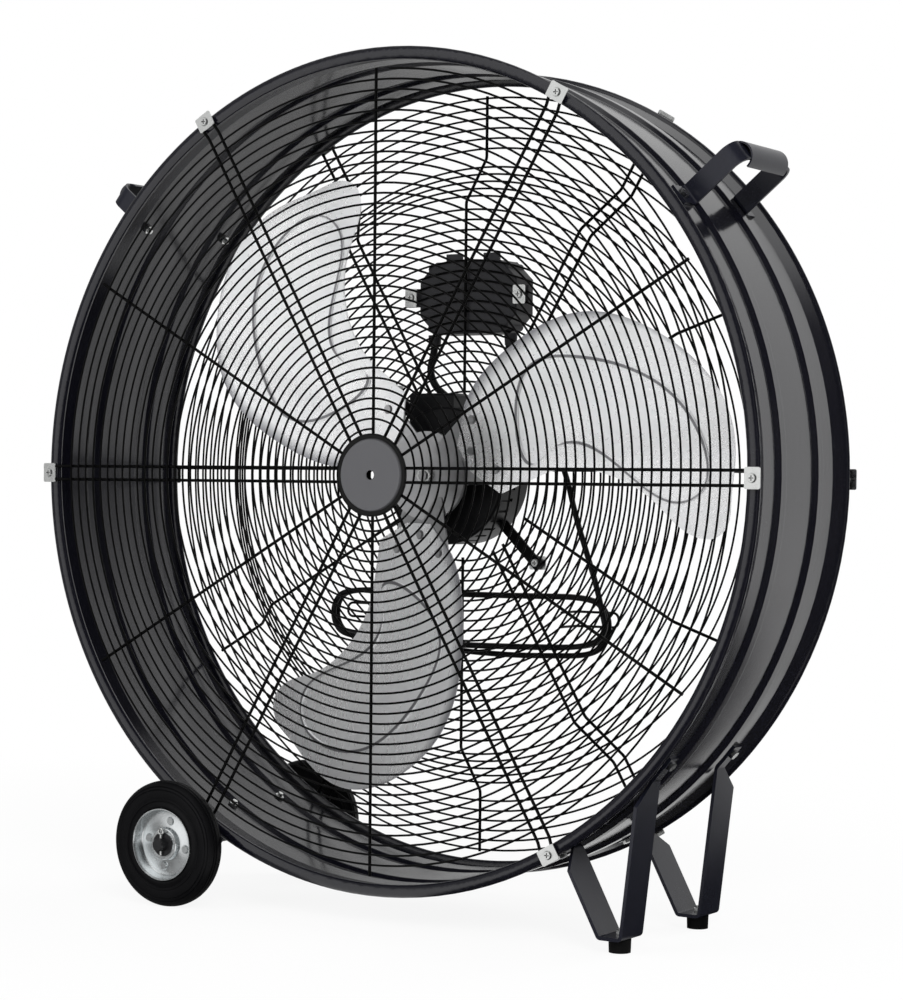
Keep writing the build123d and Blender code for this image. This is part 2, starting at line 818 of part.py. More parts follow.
# four flat bars carry the motor in the middle of the rear guard
clamp_screw_radius = rear_ring_start + 3.5 * rear_ring_pitch  # in a gap between two rings
bar_clamp_y = dish_y + weld_offset + ring_wire + seat_gap
with BuildPart() as motor_mount:
    with BuildSketch(facing_rear(bar_front_y + 2 * seat_gap)):
        for angle in mount_angles:
            with Locations(Location((*polar((bar_end + bore_radius) / 2, angle), 0), (0, 0, angle))):
                Rectangle(bar_end - bore_radius, bar_width)
        with PolarLocations(tie_radius, 4, start_angle=45):
            Circle(bolt_radius + hole_clearance, mode=Mode.SUBTRACT)
        with PolarLocations(clamp_screw_radius, 4, start_angle=45):
            Circle(clip_screw_radius + hole_clearance, mode=Mode.SUBTRACT)
    extrude(amount=bar_sheet - 6 * seat_gap)
finish(motor_mount.part, "motor_mount")

with BuildPart() as motor_bolts:
    with BuildSketch(facing_rear(motor_back_y + seat_gap)):
        with PolarLocations(tie_radius, 4, start_angle=45):
            RegularPolygon(bolt_head_width / 2, 6, major_radius=False)
    extrude(amount=bolt_head_height)
    with BuildSketch(facing_rear(motor_back_y + seat_gap)):
        with PolarLocations(tie_radius, 4, start_angle=45):
            Circle(bolt_radius)
    extrude(amount=bar_front_y - motor_back_y - 10)
finish(motor_bolts.part, "motor_bolts")

# ---------------------------------------------------------------- switch box
box_front_y = guard_back + seat_gap
box_back_y = box_front_y + box_depth
box_middle = box_low + box_height / 2
clamp_gap_radius = rear_ring_start + 10.5 * rear_ring_pitch  # the clamp screws pass between two rings
clamp_x = (box_width + clamp_width) / 2
clamp_z = math.sqrt(clamp_gap_radius**2 - clamp_x**2)
clamp_places = [(-clamp_x, clamp_z), (clamp_x, clamp_z)]
cover_screw_x = box_width / 2 - 0.75 * box_corner
cover_screw_z = box_height / 2 - screw_edge
cover_screw_places = [
    (x * cover_screw_x, box_middle + z * cover_screw_z) for x in (-1, 1) for z in (-1, 1)
]
post_radius = 5.0
post_hole_radius = cover_screw_radius + 0.1
lug_sheet = 3.0
top_lugs = [(-19, box_low + box_height + 3), (33, box_low + box_height + 3)]
box_middle_y = (box_front_y + box_back_y) / 2
gland_x = 50.0
cable_x = -57.0
spindle_place = (-8.0, box_middle)


def box_outline(inset):
    """Rectangle of the switch box with its corners cut off."""
    with Locations((0, box_middle)):
        outline = Rectangle(box_width - 2 * inset, box_height - 2 * inset)
    chamfer(outline.vertices(), box_corner - inset * 0.6)


with BuildPart() as switch_box_body:
    with BuildSketch(facing_front(box_back_y)):
        box_outline(0)
    extrude(amount=box_depth)
    fillet(switch_box_body.edges().filter_by(Axis.Y), 5)
    fillet(switch_box_body.faces().sort_by(Axis.Y)[0].outer_wire().edges(), 2)
    with BuildSketch(facing_front(box_back_y)):
        box_outline(box_wall)
    extrude(amount=box_depth - box_wall, mode=Mode.SUBTRACT)
    with BuildSketch(facing_front(box_back_y)):
        with Locations(*cover_screw_places):
            Circle(post_radius)
    extrude(amount=box_depth - box_wall / 2)
    with BuildSketch(facing_front(box_front_y + lug_sheet)):
        with Locations(*clamp_places):
            Rectangle(clamp_width + 2, clamp_height)
        with Locations(*top_lugs):
            Rectangle(22, 12)
        with Locations(*clamp_places):
            Circle(clip_screw_radius + hole_clearance, mode=Mode.SUBTRACT)
    extrude(amount=lug_sheet)
    with BuildSketch(facing_front(box_back_y)):
        with Locations(*cover_screw_places):
            Circle(post_hole_radius)
    extrude(amount=cover_screw_length, mode=Mode.SUBTRACT)
    with BuildSketch(Plane.XY.offset(axis_height + box_low - 1)):
        with Locations((gland_x, box_middle_y), (cable_x, box_middle_y)):
            Circle(gland_radius - 3)
    extrude(amount=box_wall + 4, mode=Mode.SUBTRACT)
finish(switch_box_body.part, "switch_box_body")

with BuildPart() as switch_box_cover:
    with BuildSketch(facing_rear(box_back_y + seat_gap)):
        box_outline(0)
        with Locations((-spindle_place[0], spindle_place[1])):
            Circle(spindle_radius + running_clearance, mode=Mode.SUBTRACT)
        with Locations(*cover_screw_places):
            Circle(cover_screw_radius + hole_clearance, mode=Mode.SUBTRACT)
    extrude(amount=cover_sheet)
    fillet(switch_box_cover.faces().sort_by(Axis.Y)[-1].outer_wire().edges(), 1)
finish(switch_box_cover.part, "switch_box_cover")

cover_face_y = box_back_y + seat_gap + cover_sheet
with BuildPart() as cover_screws:
    with BuildSketch(facing_rear(cover_face_y + seat_gap)):
        with Locations(*cover_screw_places):
            Circle(cover_head_radius)
    extrude(amount=cover_head_height, taper=15)
    with BuildSketch(facing_rear(cover_face_y + seat_gap)):
        with Locations(*cover_screw_places):
            Circle(cover_screw_radius)
    extrude(amount=-cover_screw_length)
    with BuildSketch(facing_rear(cover_face_y + cover_head_height + seat_gap)):
        with Locations(*cover_screw_places):
            Rectangle(cover_recess_width, cover_recess_length)
            Rectangle(cover_recess_length, cover_recess_width)
    extrude(amount=-cover_head_height / 2, mode=Mode.SUBTRACT)
finish(cover_screws.part, "cover_screws")

spindle_plane = Plane(
    origin=(spindle_place[0], cover_face_y, axis_height + spindle_place[1]),
    x_dir=(-1, 0, 0),
    z_dir=(0, 1, 0),
)
with BuildPart() as rotary_switch:
    with BuildSketch(spindle_plane.offset(-cover_sheet - 2 * seat_gap)):
        RectangleRounded(switch_size, switch_size, 3)
    extrude(amount=-switch_depth)
    with BuildSketch(spindle_plane.offset(-cover_sheet - 2 * seat_gap)):
        Circle(spindle_radius + running_clearance)
    extrude(amount=-switch_bore, mode=Mode.SUBTRACT)
    with BuildSketch(spindle_plane.offset(-cover_sheet - switch_depth)):
        with GridLocations(switch_size / 4, switch_size / 2, 3, 2):
            Rectangle(1, 5)
    extrude(amount=-switch_tag_length)
finish(rotary_switch.part, "rotary_switch")

with BuildPart() as switch_spindle:
    with BuildSketch(spindle_plane.offset(2 - cover_sheet - switch_bore)):
        Circle(spindle_radius)
    extrude(amount=cover_sheet + switch_bore + knob_gap + knob_height - knob_roof - 2)
finish(switch_spindle.part, "switch_spindle")

with BuildPart() as speed_knob:
    with BuildSketch(spindle_plane.offset(knob_gap)):
        Circle(knob_radius)
    extrude(amount=knob_skirt, taper=4)
    with BuildSketch(spindle_plane.offset(knob_gap + knob_skirt)):
        SlotOverall(2 * knob_radius - 3, knob_bar)
    extrude(amount=knob_height - knob_skirt)
    fillet(speed_knob.faces().sort_by(Axis.Y)[-1].outer_wire().edges(), 2)
    with BuildSketch(spindle_plane.offset(knob_gap)):
        Circle(spindle_radius + 0.02)
    extrude(amount=knob_height - knob_roof, mode=Mode.SUBTRACT)
    with BuildSketch(spindle_plane.offset(knob_gap + knob_height)):
        with Locations((0, knob_radius - 7)):
            Rectangle(1.6, 7)
    extrude(amount=-1, mode=Mode.SUBTRACT)
finish(speed_knob.part, "speed_knob")

with BuildPart() as run_capacitor:
    with BuildSketch(Plane.XY.offset(axis_height + box_low + capacitor_lift)):
        with Locations((capacitor_x, box_middle_y)):
            Circle(capacitor_radius)
    extrude(amount=capacitor_length)
    fillet(run_capacitor.edges().filter_by(GeomType.CIRCLE), 2)
finish(run_capacitor.part, "run_capacitor")

# ---------------------------------------------------------------- clamps on the guard wires
mount_clamps = [polar(clamp_screw_radius, angle) for angle in mount_angles]
clamp_front_y = dish_y - spoke_wire - seat_gap  # in front of the wires
with BuildPart() as wire_clamps:
    with BuildSketch(facing_front(clamp_front_y)):
        with Locations(*clamp_places):
            RectangleRounded(clamp_width, clamp_height, 2)
            Circle(clip_screw_radius + hole_clearance, mode=Mode.SUBTRACT)
    extrude(amount=clamp_sheet)
    with BuildSketch(facing_rear(bar_clamp_y)):
        with Locations(*mount_clamps):
            RectangleRounded(clamp_height, clamp_width, 2)
            Circle(clip_screw_radius + hole_clearance, mode=Mode.SUBTRACT)
    extrude(amount=clamp_sheet)
finish(wire_clamps.part, "wire_clamps")

with BuildPart() as wire_clamp_screws:
    lug_back_y = box_front_y + lug_sheet
    for places, head_y, nut_y in (
        (clamp_places, clamp_front_y - clamp_sheet, lug_back_y),
        (mount_clamps, bar_front_y + seat_gap, bar_clamp_y + clamp_sheet),
    ):
        with BuildSketch(facing_front(head_y - seat_gap)):
            with Locations(*places):
                Circle(pan_head_radius)
        extrude(amount=pan_head_height, taper=20)
        with BuildSketch(facing_front(head_y - seat_gap)):
            with Locations(*places):
                Circle(clip_screw_radius)
        extrude(amount=head_y - nut_y - nut_thickness - 2)
        with BuildSketch(facing_rear(nut_y + seat_gap)):
            with Locations(*[(-x, z) for x, z in places]):
                RegularPolygon(4, 6, major_radius=False)
        extrude(amount=nut_thickness - 1)
        with BuildSketch(facing_front(head_y - seat_gap - pan_head_height)):
            with Locations(*places):
                Rectangle(recess_width, recess_length)
                Rectangle(recess_length, recess_width)
        extrude(amount=-1.4, mode=Mode.SUBTRACT)
finish(wire_clamp_screws.part, "wire_clamp_screws")

# ---------------------------------------------------------------- terminal box and motor cable
terminal_left = -53.0
terminal_right = 9.0
terminal_top = 98.0
terminal_front_y = motor_front_y + 7
terminal_back_y = bar_front_y - 2
terminal_x = (terminal_left + terminal_right) / 2
with BuildPart() as terminal_box:
    with BuildSketch(facing_front(terminal_back_y)):
        with Locations((terminal_x, terminal_top / 2)):
            Rectangle(terminal_right - terminal_left, terminal_top)
    extrude(amount=terminal_back_y - terminal_front_y)
    fillet(terminal_box.faces().sort_by(Axis.Z)[-1].edges(), 5)
    with BuildSketch(facing_front(terminal_back_y - box_wall)):
        with Locations((terminal_x, terminal_top / 2)):
            Rectangle(terminal_right - terminal_left - 2 * box_wall, terminal_top - 2 * box_wall)
    extrude(amount=terminal_back_y - terminal_front_y - 2 * box_wall, mode=Mode.SUBTRACT)
    with BuildSketch(facing_front(terminal_back_y + 1)):
        Circle(motor_radius + seat_gap)
        with Locations((0, -motor_radius)):
            Rectangle(4 * motor_radius, 2 * motor_radius)
    extrude(amount=motor_back - motor_front, mode=Mode.SUBTRACT)
finish(terminal_box.part, "terminal_box")

cable_entry = (-26.0, 90.5)
cable_points = [
    (cable_x, box_middle_y, box_low - seat_gap),
    (cable_x, box_middle_y, box_low - 20),
    (cable_x - 7, box_middle_y - 1, box_low - 42),
    (-54, guard_back + 15, 108),
    (-37, guard_back + 12, 97),
    (cable_entry[0], guard_back + 7, cable_entry[1]),
    (cable_entry[0], terminal_back_y + seat_gap, cable_entry[1]),
]
cable_route = [(x, y, axis_height + z) for x, y, z in cable_points]
with BuildPart() as motor_cable:
    with BuildLine() as cable_path:
        FilletPolyline(*cable_route, radius=arc_radii(cable_route))
    with BuildSketch(section_at(cable_path.wire())):
        Circle(cable_radius)
    sweep(path=cable_path.wire())
finish(motor_cable.part, "motor_cable")

cord_y = guard_back + cord_radius + cord_clearance  # nearest layer of the cord
with BuildPart() as cable_glands:
    with BuildSketch(Plane.XY.offset(axis_height + box_low - seat_gap)):
        for x, bore in ((gland_x, cord_radius), (cable_x, cable_radius)):
            with Locations((x, box_middle_y)):
                Circle(gland_radius)
                Circle(bore + 0.1, mode=Mode.SUBTRACT)
    extrude(amount=-gland_length, taper=4)
    with BuildSketch(facing_rear(terminal_back_y + seat_gap)):
        with Locations((-cable_entry[0], cable_entry[1])):
            Circle(6)
            Circle(cable_radius + 0.1, mode=Mode.SUBTRACT)
    extrude(amount=4)
finish(cable_glands.part, "cable_glands")

# ---------------------------------------------------------------- power cord
layer_pitch = 2 * cord_radius + layer_gap
cord_points = [
    (gland_x, box_middle_y, box_low - seat_gap),
    (gland_x + 1, box_middle_y, box_low - 40),
    (72, box_middle_y - 2, 82),
    (108, cord_y + 10, 47),
    (132, cord_y + 6, 4),
    (147, cord_y + 3, -46),
    (165, cord_y + 1, -92),
    (178, cord_y, -127),
    (186, cord_y, -158),
]
cord_route = [(x, y, axis_height + z) for x, y, z in cord_points]


def hank_end(side, low, first_layer):
    """Corners round one end of the hank: downwards on the right (side 1), upwards on the left."""
    radius = (hank_top - low) / 2
    corner = radius / math.cos(math.radians(22.5))
    centre = hank_centre + side * (hank_half_length - radius)
    corners = []
    for step in (67.5, 22.5, -22.5, -67.5):
        angle = math.radians(side * step)
        x = centre + side * corner * math.cos(angle)
        z = (hank_top + low) / 2 + corner * math.sin(angle)
        corners.append((x, cord_y + layer_pitch * first_layer, z))
    return corners


def hank_run(height, start_x, end_x, first_layer, last_layer, sag):
    """Inner points of a long run, which sags and may climb to the next layer."""
    points = []
    steps = 4
    for n in range(1, steps):
        share = n / steps
        x = start_x + (end_x - start_x) * share
        layer = first_layer + (last_layer - first_layer) * share
        points.append((x, cord_y + layer_pitch * layer, height - sag * math.sin(math.pi * share)))
    return points


hank_left = hank_centre - hank_half_length + 35
hank_right = hank_centre + hank_half_length - 35
arriving = Vector(*cord_points[-1]) - Vector(*cord_points[-2])
first_corner = Vector(*cord_points[-1]) + arriving.normalized() * 22
hank_points = [cord_points[-1], tuple(first_corner)]
for turn in range(hank_turns):
    if turn == 0:
        hank_points += hank_end(1, hank_bottom, 0)[3:]
    hank_points += hank_run(hank_bottom, hank_right, hank_left, turn, turn, hank_sag)
    hank_points += hank_end(-1, hank_bottom, turn)
    hank_points += hank_run(hank_top, hank_left, hank_right, turn, turn + 1, hank_sag / 2)
    low = hank_bottom - (tail_drop if turn == hank_turns - 1 else 0)
    hank_points += hank_end(1, low, turn + 1)
tail_low = hank_bottom - tail_drop
tail_y = cord_y + layer_pitch * hank_turns
hank_points += hank_run(tail_low, hank_right, tail_turn_x, hank_turns, hank_turns, hank_sag)
hank_points += [
    (tail_turn_x, tail_y, tail_low),
    (tail_turn_x - 34, tail_y, tail_low - 14),
    (tail_turn_x - 50, tail_y, tail_low - 34),
]
hank_route = [(x, y, axis_height + z) for x, y, z in hank_points]

cord_parts = []
for name, route in (("power_cord", cord_route), ("cord_hank", hank_route)):
    radii = arc_radii(route)
    with BuildPart() as cord:
        with BuildLine() as cord_path:
            FilletPolyline(*route, radius=radii)
        with BuildSketch(section_at(cord_path.wire())):
            Circle(cord_radius)
        sweep(path=cord_path.wire())
    expected = math.pi * cord_radius**2 * cord_path.wire().length
    print(name, "arc radii", [round(radius, 1) for radius in radii])
    share = round(cord.part.volume / expected, 4)
    print(name, "length", round(cord_path.wire().length), "volume share", share)
    finish(cord.part, name)
    cord_parts.append(cord_path.wire())

samples = 900
hank_wire = cord_parts[1]
places = [hank_wire @ (n / samples) for n in range(samples + 1)]
spacing = hank_wire.length / samples
skip = int(8 * cord_radius / spacing)
least = min(
    (places[n] - places[m]).length for n in range(samples) for m in range(n + skip, samples + 1)
)
print("least gap of the hank to itself", round(least - 2 * cord_radius, 2))

plug_plane = Plane(
    origin=Vector(*hank_route[-1]) + (hank_wire % 1) * seat_gap,
    x_dir=(0, 1, 0),
    z_dir=hank_wire % 1,
)
with BuildPart() as power_plug:
    with BuildSketch(plug_plane):
        Circle(cord_radius + 1.2)
    with BuildSketch(plug_plane.offset(plug_neck)):
        Circle(cord_radius + 3)
    with BuildSketch(plug_plane.offset(plug_shoulder)):
        Circle(plug_body_radius)
    loft(ruled=True)
    with BuildSketch(plug_plane.offset(plug_shoulder)):
        Circle(plug_body_radius)
        Rectangle(2 * plug_radius, plug_flat)
    extrude(amount=plug_length - plug_shoulder)
    with BuildSketch(plug_plane.offset(plug_length)):
        with Locations((-pin_spacing / 2, 0), (pin_spacing / 2, 0)):
            Circle(pin_radius)
    extrude(amount=pin_length)
finish(power_plug.part, "power_plug")

with BuildPart() as hank_tie:
    tie_z = axis_height + hank_bottom - (hank_sag + tail_drop) / 2
    tie_origin = (tie_x, (cord_y + tail_y) / 2, tie_z)
    with BuildSketch(Plane(origin=tie_origin, x_dir=(0, 1, 0), z_dir=(1, 0, 0))):
        inner_depth = tail_y - cord_y + 2 * cord_radius + 0.6
        inner_height = tail_drop + 2 * cord_radius + 1
        RectangleRounded(inner_depth + 2 * tie_sheet, inner_height + 2 * tie_sheet, cord_radius + tie_sheet)
        RectangleRounded(inner_depth, inner_height, cord_radius, mode=Mode.SUBTRACT)
    extrude(amount=tie_width / 2, both=True)
finish(hank_tie.part, "hank_tie")

# ---------------------------------------------------------------- cord hooks
with BuildPart() as cord_hooks:
    for side in (-1, 1):
        root_y = guard_back - ring_wire
        arm_y = guard_back + hook_depth
        hook_points = [
            (side * hook_root, root_y, axis_height + hook_upper),
            (side * hook_root, arm_y, axis_height + hook_upper),
            (side * hook_tip, arm_y, axis_height + hook_upper),
            (side * hook_tip, arm_y, axis_height + hook_lower),
            (side * hook_root, arm_y, axis_height + hook_lower),
            (side * hook_root, root_y, axis_height + hook_lower),
        ]
        with BuildLine() as hook_path:
            FilletPolyline(*hook_points, radius=hook_bend)
        with BuildSketch(section_at(hook_path.wire())):
            Circle(hook_wire)
        sweep(path=hook_path.wire())
finish(cord_hooks.part, "cord_hooks")

# ---------------------------------------------------------------- handles
foot_line = body_radius + seat_gap + handle_sheet / 2
leg_y = handle_span / 2 - handle_sheet / 2
grip_centre = body_radius + handle_reach - grip_radius
strap_top = grip_centre + math.sqrt(grip_radius**2 - (handle_width / 2) ** 2) - handle_sheet / 2
grip_length = 2 * (leg_y - handle_bend)
for name, angle in (("handle_right", handle_angle), ("handle_left", 180 - handle_angle)):
    plane = spoke_plane(angle)
    with BuildPart() as handle:
        with BuildSketch(plane):
            with BuildLine() as strap:
                FilletPolyline(
                    (foot_line, -leg_y - handle_foot),
                    (foot_line, -leg_y),
                    (strap_top, -leg_y),
                    (strap_top, leg_y),
                    (foot_line, leg_y),
                    (foot_line, leg_y + handle_foot),
                    radius=[foot_bend, handle_bend, handle_bend, foot_bend],
                )
            trace(strap.line, handle_sheet)
        extrude(amount=handle_width / 2, both=True)
        grip_plane = Plane(
            origin=plane.from_local_coords((grip_centre, -grip_length / 2, 0)),
            x_dir=plane.z_dir,
            z_dir=(0, 1, 0),
        )
        with BuildSketch(grip_plane):
            Circle(grip_radius)
            Circle(grip_radius - grip_sheet, mode=Mode.SUBTRACT)
            with Locations((0, grip_radius * grip_plane.y_dir.dot(plane.x_dir) * -1)):
                Rectangle(2 * grip_radius, 2 * grip_radius, mode=Mode.SUBTRACT)
        extrude(amount=grip_length)
        with Locations(*[Location(bolt_plane) for bolt_plane in handle_bolts]):
            Cylinder(bolt_radius + hole_clearance, 20, mode=Mode.SUBTRACT)
    finish(handle.part, name)

# ---------------------------------------------------------------- V feet
def tab_point(angle, along):
    """Point of the strap's middle line on the drum, moved along the drum's tangent."""
    x, z = polar(1, angle)
    radius = body_radius + seat_gap + foot_sheet / 2
    return (radius * x - along * z, radius * z + along * x)


strap_floor = pad_height + foot_sheet / 2 - axis_height
right_bend = tab_point(right_tab_angle, -tab_to_bend)
left_bend = tab_point(left_tab_angle, tab_to_bend)
strap_points = [
    tab_point(right_tab_angle, tab_end),
    right_bend,
    (foot_flat_right, strap_floor),
    (foot_flat_left, strap_floor),
    left_bend,
    tab_point(left_tab_angle, -tab_end),
]
foot_edge_y = front_y + foot_outer_edge
foot_middle_y = foot_edge_y + foot_width / 2
with BuildPart() as foot_bracket_front:
    with BuildSketch(facing_front(foot_edge_y)):
        with BuildLine() as strap:
            FilletPolyline(*strap_points, radius=foot_corner)
        trace(strap.line, foot_sheet)
    extrude(amount=-foot_width)
    for bend, end in ((right_bend, strap_points[2]), (left_bend, strap_points[3])):
        down_leg = Vector(end[0] - bend[0], 0, end[1] - bend[1])
        across = down_leg.cross(Vector(0, 1, 0))
        corner_plane = Plane(
            origin=(bend[0], foot_edge_y, axis_height + bend[1]), x_dir=down_leg, z_dir=across
        )
        with BuildSketch(corner_plane):
            with BuildLine():
                Polyline(
                    (strap_cut, -5),
                    (strap_cut, 0),
                    (0, foot_width - tab_width),
                    (-60, foot_width - tab_width),
                    (-60, -5),
                    close=True,
                )
            make_face()
        extrude(amount=40, both=True, mode=Mode.SUBTRACT)
    with Locations(*[Location(bolt_plane) for bolt_plane in foot_bolts]):
        Cylinder(bolt_radius + hole_clearance, 20, mode=Mode.SUBTRACT)
    with Locations((pad_x, foot_middle_y, pad_height)):
        Cylinder(pad_screw_radius + hole_clearance, 20, mode=Mode.SUBTRACT)
finish(foot_bracket_front.part, "foot_bracket_front")

with BuildPart() as foot_bracket_rear:
    mirror(foot_bracket_front.part, about=Plane.XZ)
finish(foot_bracket_rear.part, "foot_bracket_rear")

pad_places = [(pad_x, side * foot_middle_y) for side in (-1, 1)]
with BuildPart() as foot_pads:
    with BuildSketch():
        with Locations(*pad_places):
            Circle(pad_radius)
    extrude(amount=pad_height - seat_gap, taper=-2)
    with BuildSketch():
        with Locations(*pad_places):
            Circle(pad_radius / 2)
    extrude(amount=pad_height / 2, mode=Mode.SUBTRACT)
    with BuildSketch():
        with Locations(*pad_places):
            Circle(pad_screw_radius + hole_clearance)
    extrude(amount=pad_height, mode=Mode.SUBTRACT)
finish(foot_pads.part, "foot_pads")

with BuildPart() as pad_screws:
    head_z = pad_height / 2 - seat_gap
    with BuildSketch(Plane.XY.offset(head_z)):
        with Locations(*pad_places):
            Circle(pan_head_radius - 0.5)
    extrude(amount=-pan_head_height)
    with BuildSketch(Plane.XY.offset(head_z)):
        with Locations(*pad_places):
            Circle(pad_screw_radius)
    extrude(amount=pad_height / 2 + foot_sheet + nut_thickness + 2)
    with BuildSketch(Plane.XY.offset(pad_height + foot_sheet + seat_gap)):
        with Locations(*pad_places):
            RegularPolygon(4, 6, major_radius=False)
    extrude(amount=nut_thickness - 1)
finish(pad_screws.part, "pad_screws")

# ---------------------------------------------------------------- axle, brackets and wheels
hub_outer_y = rear_y + wheel_gap + hub_length
axle_end_y = hub_outer_y + washer_sheet + 4 * pin_wire + axle_overhang - 3
wheel_axis = Axis((wheel_x, 0, wheel_radius), (0, 1, 0))
wheel_profile = Plane(origin=(wheel_x, 0, wheel_radius), x_dir=(1, 0, 0), z_dir=(0, 0, 1))

with BuildPart() as axle:
    with BuildSketch(wheel_profile):
        ring(0, axle_radius, -axle_end_y, axle_end_y)
        ring(0, axle_radius + axle_shoulder, 0.3 - rear_y - wheel_gap, rear_y + wheel_gap - 0.3)
    revolve(axis=wheel_axis)
    chamfer(axle.edges().filter_by(GeomType.CIRCLE).group_by(Axis.Y)[0], 1)
    chamfer(axle.edges().filter_by(GeomType.CIRCLE).group_by(Axis.Y)[-1], 1)
    pin_y = hub_outer_y + washer_sheet + 2.5 * pin_wire
    with Locations((wheel_x, -pin_y, wheel_radius), (wheel_x, pin_y, wheel_radius)):
        Cylinder(pin_wire + 0.1, 4 * axle_radius, mode=Mode.SUBTRACT)
finish(axle.part, "axle")

with BuildPart() as axle_washers:
    with BuildSketch(wheel_profile):
        for side in (-1, 1):
            ring(
                axle_radius + 0.1,
                washer_radius,
                side * (hub_outer_y + 0.3),
                side * (hub_outer_y + 0.3 + washer_sheet),
            )
    revolve(axis=wheel_axis)
finish(axle_washers.part, "axle_washers")

with BuildPart() as cotter_pins:
    pin_reach = axle_radius + 5
    pin_eye = 3.2
    for side in (-1, 1):
        with Locations((wheel_x, side * pin_y, wheel_radius)):
            Cylinder(pin_wire, 2 * pin_reach)
        eye_place = (wheel_x, side * pin_y, wheel_radius + pin_reach + pin_eye)
        with Locations(Location(eye_place, (90, 0, 0))):
            Torus(pin_eye, pin_wire)
finish(cotter_pins.part, "cotter_pins")

axle_sleeve = axle_radius + axle_shoulder
ear_radius = 16.0
bracket_base_length = 20.0
x_out, z_out = polar(1, axle_angle)
with BuildPart() as axle_brackets:
    for side in (-1, 1):
        ear_y = side * (bead_middle + bracket_base_length / 2)
        base_plane = radial_plane(bead_top + seat_gap, axle_angle, side * bead_middle)
        with BuildSketch(base_plane):
            Rectangle(bracket_base_length, bracket_width)
        extrude(amount=bracket_sheet)
        ear_plane = Plane(origin=(0, ear_y, axis_height), x_dir=(x_out, 0, z_out), z_dir=(0, side, 0))
        with BuildSketch(ear_plane):
            with BuildLine():
                Polyline(
                    (bead_top + seat_gap, -bracket_width / 2),
                    (bead_top + seat_gap, bracket_width / 2),
                    (axle_distance, ear_radius),
                    (axle_distance, -ear_radius),
                    close=True,
                )
            make_face()
            with Locations((axle_distance, 0)):
                Circle(ear_radius)
                Circle(axle_sleeve + seat_gap, mode=Mode.SUBTRACT)
        extrude(amount=bracket_sheet)
    with Locations(*[Location(bolt_plane) for bolt_plane in bracket_bolts]):
        Cylinder(bolt_radius + hole_clearance, 20, mode=Mode.SUBTRACT)
finish(axle_brackets.part, "axle_brackets")

tyre_inner_y = rear_y + wheel_gap
rim_edge = 2.5  # the rim's edge lies this much inside the tyre's side
for side, place in ((-1, "front"), (1, "rear")):
    middle_y = side * (tyre_inner_y + tyre_width / 2)
    with BuildPart() as tyre:
        with BuildSketch(wheel_profile):
            with Locations(((tyre_inner_radius + wheel_radius) / 2, middle_y)):
                body = Rectangle(wheel_radius - tyre_inner_radius, tyre_width)
            fillet(body.vertices().group_by(Axis.X)[-1], tyre_round)
            for groove in range(tread_grooves):
                groove_y = middle_y + (groove - (tread_grooves - 1) / 2) * 4.5
                with Locations((wheel_radius, groove_y)):
                    Rectangle(3, 1.6, mode=Mode.SUBTRACT)
        revolve(axis=wheel_axis)
    finish(tyre.part, f"{place}_tyre")

    rim_inner_y = side * (tyre_inner_y + rim_edge)
    rim_outer_y = side * (tyre_inner_y + tyre_width - rim_edge)
    with BuildPart() as wheel_rim:
        with BuildSketch(wheel_profile):
            ring(tyre_inner_radius - 3, tyre_inner_radius - seat_gap, rim_inner_y, rim_outer_y)
            ring(hub_radius - 0.5, tyre_inner_radius - 2, middle_y - 1.5, middle_y + 1.5)
            ring(bush_radius + 0.02, hub_radius, side * tyre_inner_y, side * (tyre_inner_y + hub_length))
        revolve(axis=wheel_axis)
    finish(wheel_rim.part, f"{place}_wheel_rim")

    with BuildPart() as wheel_bush:
        with BuildSketch(wheel_profile):
            bush_ends = (side * tyre_inner_y, side * (tyre_inner_y + hub_length))
            ring(axle_radius + running_clearance, bush_radius, *bush_ends)
        revolve(axis=wheel_axis)
    finish(wheel_bush.part, f"{place}_wheel_bush")

# ---------------------------------------------------------------- bolts through the drum
fixed = [(plane, handle_sheet + sheet) for plane in handle_bolts]
fixed += [(plane, foot_sheet + sheet) for plane in foot_bolts]
fixed += [(plane, bracket_sheet + sheet) for plane in bracket_bolts]
with BuildPart() as body_bolts:
    for plane, stack in fixed:
        seat = plane.offset(2 * seat_gap)
        with BuildSketch(seat):
            RegularPolygon(bolt_head_width / 2, 6, major_radius=False)
        extrude(amount=bolt_head_height)
        with BuildSketch(seat):
            Circle(bolt_radius)
        extrude(amount=-stack - bolt_end)
finish(body_bolts.part, "body_bolts")

with BuildPart() as body_nuts:
    for plane, stack in fixed:
        with BuildSketch(plane.offset(-stack - 2 * seat_gap)):
            RegularPolygon(bolt_head_width / 2, 6, major_radius=False)
            Circle(bolt_radius + 0.05, mode=Mode.SUBTRACT)
        extrude(amount=-nut_thickness)
finish(body_nuts.part, "body_nuts")
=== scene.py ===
# %% [markdown]
# # Dressing a drum fan
# A drum fan is a short steel drum with a wire guard over each end, a motor hung in the middle of
# the rear guard, and three sheet blades. It rolls on two wheels and rests on two V-shaped legs.
# The shapes of most pieces arrive as finished solids. This lesson places the camera, lays the
# cords, makes the pieces that need a finer shape, and gives every surface a finish.

# %% Load the solids
import json
import math

import bmesh
import bpy
from mathutils import Matrix, Vector


